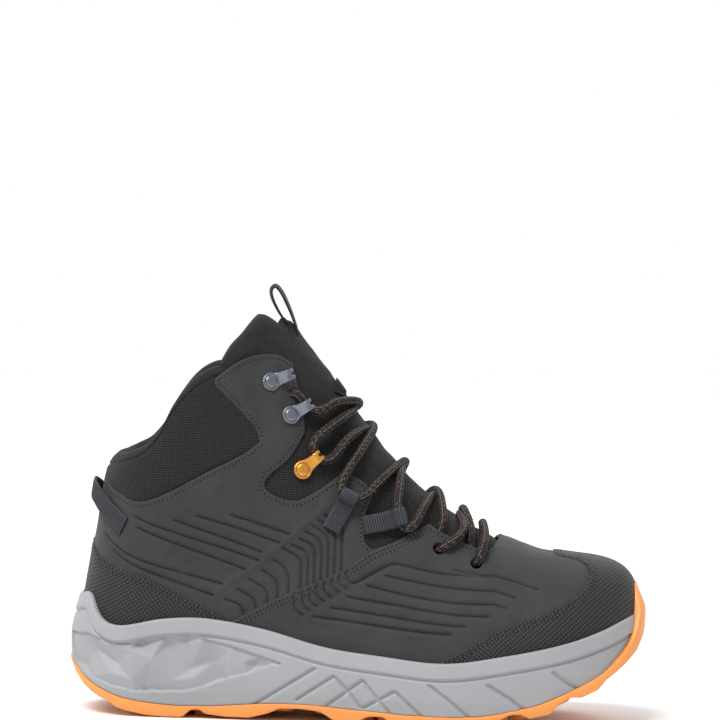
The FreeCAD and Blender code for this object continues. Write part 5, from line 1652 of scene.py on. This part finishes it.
def lace_point(entry, mirror):
    kind = entry[0]
    if kind == "ridge":
        _, x, order = entry
        return on_form(x, float(through(RIDGE, x)) - CROSS_DROP, MEDIAL, CROSS_LIFT[mirror * order])[0]
    if kind == "skin":
        _, x, z, side, lift = entry
        return on_form(x, z, side * mirror, lift)[0]
    _, side, along, across, lift = entry
    base, tip = HOOKS.get(kind) or LOOPS[kind]
    point, ahead, upward, normal = frame_at(base, tip, side * mirror)
    return point + ahead * along + upward * across + normal * lift


def lace_route():
    over = [lace_point(entry, 1) for entry in LACE_HALF]
    under = [lace_point(entry, -1) for entry in LACE_HALF]
    middle = np.array([LACE_MIDDLE, float(toe_swing(LACE_MIDDLE)),
                       float(through(RIDGE, LACE_MIDDLE)) + MIDDLE_LIFT])
    return under[::-1] + [middle] + over


def nurbs_line(name, points):
    """Points along the NURBS spline that has these control points, in millimetres."""
    curve = bpy.data.curves.new(name, "CURVE")
    curve.dimensions = "3D"
    curve.resolution_u = 24
    spline = curve.splines.new("NURBS")
    spline.points.add(len(points) - 1)
    for target, p in zip(spline.points, points):
        target.co = tuple(np.asarray(p) * MM) + (1.0,)
    spline.order_u = 3
    spline.use_endpoint_u = True
    holder = add_object(name, curve)
    bpy.context.view_layer.update()
    mesh = bpy.data.meshes.new_from_object(holder)
    line = np.array([v.co[:] for v in mesh.vertices]) / MM
    bpy.data.objects.remove(holder)
    bpy.data.meshes.remove(mesh)
    bpy.data.curves.remove(curve)
    return line


def lace():
    """Round braided lace along its route."""
    line = along_path(nurbs_line("lace_route", lace_route()), 0.55)
    tangents = unit(np.gradient(line, axis=0))
    across = np.zeros_like(line)
    across[0] = unit(np.cross(tangents[0], (0.3, 0.5, 0.8)))
    for i in range(1, len(line)):
        across[i] = unit(across[i - 1] - tangents[i] * (across[i - 1] @ tangents[i]))
    other = np.cross(tangents, across)
    reach = reach_along(line)
    turn = np.linspace(0, 2 * math.pi, 21)
    girth = 2 * math.pi * LACE_RADIUS
    rows = []
    flat = []
    for angle in turn:
        plait = 0.13 * np.cos(12 * angle) * np.cos(2 * math.pi * reach / 2.6 + 3 * angle)
        radius = LACE_RADIUS - 0.1 + plait
        rows.append(line + (across * math.cos(angle) + other * math.sin(angle)) * radius[:, None])
        flat.append(np.stack([reach, np.full(len(reach), girth * angle / (2 * math.pi))], 1))
    obj = grid_object("lace_cord", np.array(rows), MATERIALS["lace_braid"], np.array(flat))
    weld(obj, 0.002)
    return settle(obj, "boot", "lace_cord", "lace")


# ================================================================ stitching
STITCH_PITCH, STITCH_LONG, STITCH_RADIUS, HOLE_RADIUS = 2.3, 1.2, 0.27, 0.58


def surface_of(*objects):
    """Ray-casting tree of the outsides of some pieces."""
    verts, polygons = [], []
    for obj in objects:
        first = len(verts)
        verts += [v.co[:] for v in obj.data.vertices]
        polygons += [[first + i for i in p.vertices] for p in obj.data.polygons]
    return BVHTree.FromPolygons(verts, polygons)


def seat_on(tree, chart, path):
    """Points of a chart path dropped onto a surface, with the skin's normals there."""
    points, normals = chart.place(path, 14.0)
    seated, kept = [], []
    for p, n in zip(points, normals):
        hit = tree.ray_cast(Vector(p * MM), Vector(-n), 0.022)[0]
        if hit is not None:
            seated.append(np.array(hit) / MM)
            kept.append(n)
    return np.array(seated), np.array(kept)


def capsule(start, end, normal, radius):
    """Small rounded thread bump between two points."""
    along = end - start
    length = np.linalg.norm(along)
    along /= length
    across = np.cross(normal, along)
    rings = []
    for t, r in ((0.0, 0.25), (0.14, 0.8), (0.5, 1.0), (0.86, 0.8), (1.0, 0.25)):
        centre = start + (end - start) * t - normal * radius * (0.35 - 0.25 * math.sin(math.pi * t))
        for k in range(6):
            turn = k * math.pi / 3
            rings.append(centre + (across * math.cos(turn) + normal * math.sin(turn)) * radius * r)
    faces = []
    for i in range(4):
        faces += [(i * 6 + k, i * 6 + (k + 1) % 6, (i + 1) * 6 + (k + 1) % 6, (i + 1) * 6 + k)
                  for k in range(6)]
    faces += [tuple(range(5, -1, -1)), tuple(range(24, 30))]
    return rings, faces


def hole_shade_disc(point, normal, radius):
    """Flat disc painted near-black as the shade inside a needle hole."""
    side = np.cross(normal, (0.3, 0.5, 0.81))
    side /= np.linalg.norm(side)
    other = np.cross(normal, side)
    ring = [point + (side * math.cos(k * math.pi / 4) + other * math.sin(k * math.pi / 4)) * radius
            for k in range(8)]
    return ring + [point + normal * 0.05], [(k, (k + 1) % 8, 8) for k in range(8)]


def stitches(name, tree, chart, paths, slot_name):
    """Rows of thread bumps, with a flat disc of painted needle-hole shade between each two."""
    thread_verts, thread_faces, hole_verts, hole_faces = [], [], [], []
    for path in paths:
        dots, normals = seat_on(tree, chart, along_path(path, STITCH_PITCH / 2))
        for i in range(1, len(dots) - 1, 2):
            ahead = dots[i + 1] - dots[i - 1]
            length = np.linalg.norm(ahead)
            if length > 1.6 * STITCH_PITCH or length < 0.5:
                continue
            ahead /= length
            start, end = dots[i] - ahead * STITCH_LONG / 2, dots[i] + ahead * STITCH_LONG / 2
            verts, faces = capsule(start, end, normals[i], STITCH_RADIUS)
            first = len(thread_verts)
            thread_verts += verts
            thread_faces += [tuple(first + v for v in f) for f in faces]
            # flat disc painted near-black as the shade inside the needle hole
            verts, faces = hole_shade_disc(dots[i + 1] + normals[i + 1] * 0.03, normals[i + 1], HOLE_RADIUS)
            first = len(hole_verts)
            hole_verts += verts
            hole_faces += [tuple(first + v for v in f) for f in faces]
    count = len(thread_verts)
    faces = thread_faces + [tuple(count + v for v in f) for f in hole_faces]
    obj = make_object(name, np.array(thread_verts + hole_verts), faces, MATERIALS["thread"])
    # second material: the painted shade of the needle holes
    obj.data.materials.append(MATERIALS["painted_hole_shade"])
    for polygon in obj.data.polygons:
        polygon.material_index = 1 if polygon.index >= len(thread_faces) else 0
    return settle(obj, "boot", slot_name)


def rows_inside(path, loop, offsets):
    """Copies of a path moved into a closed outline."""
    rows = []
    for offset in offsets:
        choices = side_rows(path, (offset, -offset))
        shares = [inside(row, loop).mean() for row in choices]
        rows.append(choices[int(shares[1] > shares[0])])
    return rows


def leather_stitches(side):
    chart = HEEL_CHART
    tree = surface_of(quarters[side])
    loop = QUARTER_LOOPS[side]
    rows = rows_inside(drawn(chart, TOP_BACK, side), loop, (2.4,))
    rows += rows_inside(drawn(chart, TOP_FLAP_BACK, side), loop, (2.4,))
    rows += rows_inside(drawn(chart, TOP_FLAP + EYESTAY[1:], side), loop, (2.2,))
    rows += rows_inside(drawn(chart, HOOK_WINDOW, side), loop, (2.2,))
    rows += rows_inside(drawn(chart, LOOP_TAB + LOOP_WINDOW[1:], side), loop, (1.9,))
    rows.append(drawn(chart, TAB_STITCHES, side))
    stitches("quarter_stitches_" + SIDE_NAME[side], tree, chart, rows, "nubuck")


def forefoot_stitches():
    chart = VAMP_CHART
    tree = surface_of(vamp_piece)
    rows = []
    for side in (LATERAL, MEDIAL):
        rows += rows_inside(drawn(chart, SEAM, side), VAMP_LOOP, (1.7, 3.9))
        rows += rows_inside(drawn(chart, THROAT, side), VAMP_LOOP, (2.2,))
    stitches("vamp_stitches", tree, chart, rows, "nubuck")
    rows = []
    for side in (LATERAL, MEDIAL):
        edge = curve_through(np.vstack([[(100.2, 0)], chart.draw(TOE_CAP_EDGE, side)]), 1.0)
        rows += rows_inside(edge, TOE_LOOP, (1.6, 3.6))
    stitches("toe_cap_stitches", surface_of(toe_piece), chart, rows, "cap_textile")
    chart = HEEL_CHART
    rows = []
    for side in (LATERAL, MEDIAL):
        rows += rows_inside(drawn(chart, HEEL_CAP_TOP, side), HEEL_LOOP, (1.6, 3.6))
    stitches("heel_cap_stitches", surface_of(heel_piece), chart, rows, "cap_textile")


# ================================================================ inner and small pieces
FOOTBED_TOP, FOOTBED_THICK = 6.0, 3.2
FOOTBED_GAP = 7.4                  # the insole's edge stays this far inside the form, so it can lift out


def footbed():
    """Moulded insole: cupped heel, raised arch, cloth top."""
    rows, flats = [], []
    xs = np.concatenate([np.linspace(-137.5, -116, 16)[:-1], np.linspace(-116, 100, 70)[:-1],
                         np.linspace(100, 129.5, 20)])
    across = np.linspace(-1, 1, 31)
    for x in xs:
        row, flat = [], []
        rounded = end_round(x + 138.5, 38) * end_round(130.5 - x, 52)
        for v in across:
            side = LATERAL if v < 0 else MEDIAL
            reach = (through(HALF_WIDTH[side], x) - FOOTBED_GAP) * rounded
            floor = float(through(FLOOR, x))
            cup = 2.6 * abs(v)**3 * (1 - float(smoothstep(-70, 0, x)))
            arch = 2.0 * max(v, 0)**2 * float(np.exp(-((x + 25) / 42)**2))
            y = float(reach) * v + float(toe_swing(x))
            row.append((x, y, floor + FOOTBED_TOP + cup + arch))
            flat.append((x, y))
        rows.append(row)
        flats.append(flat)
    top = np.array(rows)
    under = top.copy()
    under[..., 2] -= FOOTBED_THICK
    ring = np.concatenate([top, under[:, ::-1], top[:, :1]], axis=1)
    flat = np.array(flats)
    flat = np.concatenate([flat, flat[:, ::-1], flat[:, :1]], axis=1)
    obj = grid_object("footbed_pad", ring, MATERIALS["lining_cloth"], flat)
    weld(obj, 0.01)
    settle(obj, "footbed", "footbed_foam", "footbed")
    return obj


KEEPER_PLACE, KEEPER_REACH = -14.5, 9.0
KEEPER_LOW, KEEPER_HUMP = -1.3, 0.7    # height of its ends against the form, and its crown above them


def keeper():
    """Narrow strap sewn flat across the tongue."""
    around = np.linspace(-KEEPER_REACH, KEEPER_REACH, 61)
    along = np.full(len(around), KEEPER_PLACE)
    normals = skin.normal(along, around, 2.0)
    lift = KEEPER_LOW + KEEPER_HUMP * (1 - smoothstep(3.5, 7.5, np.abs(around)))
    points = skin.at(along, around) + normals * lift[:, None]
    obj = strap_object("tongue_keeper_strap", points, normals, 8.0, 1.0, MATERIALS["tape"], 0.06, 0.9)
    return settle(obj, "boot", "webbing", "tongue_lace_keeper")


def dress(node, material):
    """New material on a CAD node that keeps its shape."""
    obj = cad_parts[node]
    for slot_index in range(len(obj.material_slots)):
        obj.material_slots[slot_index].material = MATERIALS[material]
    if not obj.material_slots:
        obj.data.materials.append(MATERIALS[material])


# ================================================================ the boot
midsole()
outsole()
quarters = {side: quarter(side) for side in (LATERAL, MEDIAL)}
vamp_piece, VAMP_LOOP = vamp()
toe_piece, TOE_LOOP = toe_cap()
heel_piece, HEEL_LOOP = heel_cap()
for each_side in (LATERAL, MEDIAL):
    leather_stitches(each_side)
forefoot_stitches()
for each_side in (LATERAL, MEDIAL):
    eyestay_textile(each_side)
collar()
tongue()
for each_side in (LATERAL, MEDIAL):
    hook("hook_top", each_side, MATERIALS["grey_metal"], "hook_grey")
    hook("hook_second", each_side, MATERIALS["grey_metal"], "hook_grey")
    hook("ankle_hook", each_side, MATERIALS["orange_metal"], "hook_orange")
    webbing_loop("lace_loop_upper", each_side)
    webbing_loop("lace_loop_lower", each_side)
rivets("hook_rivets", ("hook_top", "hook_second"), MATERIALS["grey_metal"], "rivet_grey")
rivets("ankle_hook_rivets", ("ankle_hook",), MATERIALS["orange_metal"], "hook_orange")
heel_strap()
tongue_pull()
lace()
keeper()
footbed()

for node, material in (("bootie_lining", "soft_lining"), ("insole_board", "stiff_board"),
                       ("shank", "nylon"), ("lace_aglets", "nylon")):
    dress(node, material)

# ================================================================ floor, lights, camera
FLOOR_RADIUS = 3.0
floor_mesh = bpy.data.meshes.new("floor")
floor_turn = np.linspace(0, 2 * math.pi, 96, endpoint=False)
floor_mesh.from_pydata([(FLOOR_RADIUS * math.cos(t), FLOOR_RADIUS * math.sin(t), 0) for t in floor_turn],
                       [], [tuple(range(len(floor_turn)))])
floor = add_object("floor", floor_mesh)
floor.data.materials.append(MATERIALS["pale_floor"])

SOFT_FRONT = 0.50                  # the sky's brightness on the camera's side
bpy.context.scene.view_settings.view_transform = "Standard"
world = bpy.data.worlds.new("studio")
world.use_nodes = True
world_brush = Brush(world.node_tree)
sky = world_brush.node("ShaderNodeSeparateXYZ")
world_brush.link(world_brush.node("ShaderNodeTexCoord").outputs["Generated"], sky.inputs["Vector"])
backdrop = world_brush.ramp(world_brush.maths("MULTIPLY_ADD", sky.outputs[1], 0.5, 0.5),
                            [(0.35, SOFT_FRONT), (0.75, 1.0)])
world_brush.link(backdrop, world.node_tree.nodes["Background"].inputs["Color"])
bpy.context.scene.world = world

LIGHTS = [("key", (-1.3, -1.3, 2.0), (0.7, 0.7), 20.0), ("back", (0.6, 1.6, 1.7), (1.2, 0.9), 12.0)]
AIM = Vector((-0.0053, 0.0, 0.1886))
CAMERA_DISTANCE, CAMERA_LENS, SENSOR = 2.5, 236.0, 36.0
CAMERA_ELEVATION, CAMERA_ROLL = math.radians(3.0), math.radians(1.7)


def area_light(name, place, target, size, power):
    data = bpy.data.lights.new(name, "AREA")
    data.shape = "RECTANGLE"
    data.size, data.size_y = size
    data.energy = power
    light = add_object(name, data)
    light.location = place
    light.rotation_euler = (Vector(target) - Vector(place)).to_track_quat("-Z", "Y").to_euler()


for light_name, place, size, power in LIGHTS:
    area_light(light_name, place, (0, 0, 0.1), size, power)

sun_data = bpy.data.lights.new("sun", "SUN")
sun_data.energy, sun_data.angle = 2.3, math.radians(22)
sun = add_object("sun", sun_data)
sun.rotation_euler = Vector((0.35, 0.75, -1.25)).to_track_quat("-Z", "Y").to_euler()

camera_data = bpy.data.cameras.new("camera")
camera_data.lens, camera_data.sensor_width = CAMERA_LENS, SENSOR
camera = add_object("camera", camera_data)
direction = Vector((0, -math.cos(CAMERA_ELEVATION), math.sin(CAMERA_ELEVATION)))
camera.location = AIM + direction * CAMERA_DISTANCE
turn = (-direction).to_track_quat("-Z", "Y").to_matrix() @ Matrix.Rotation(CAMERA_ROLL, 3, "Z")
camera.rotation_euler = turn.to_euler()
bpy.context.scene.camera = camera
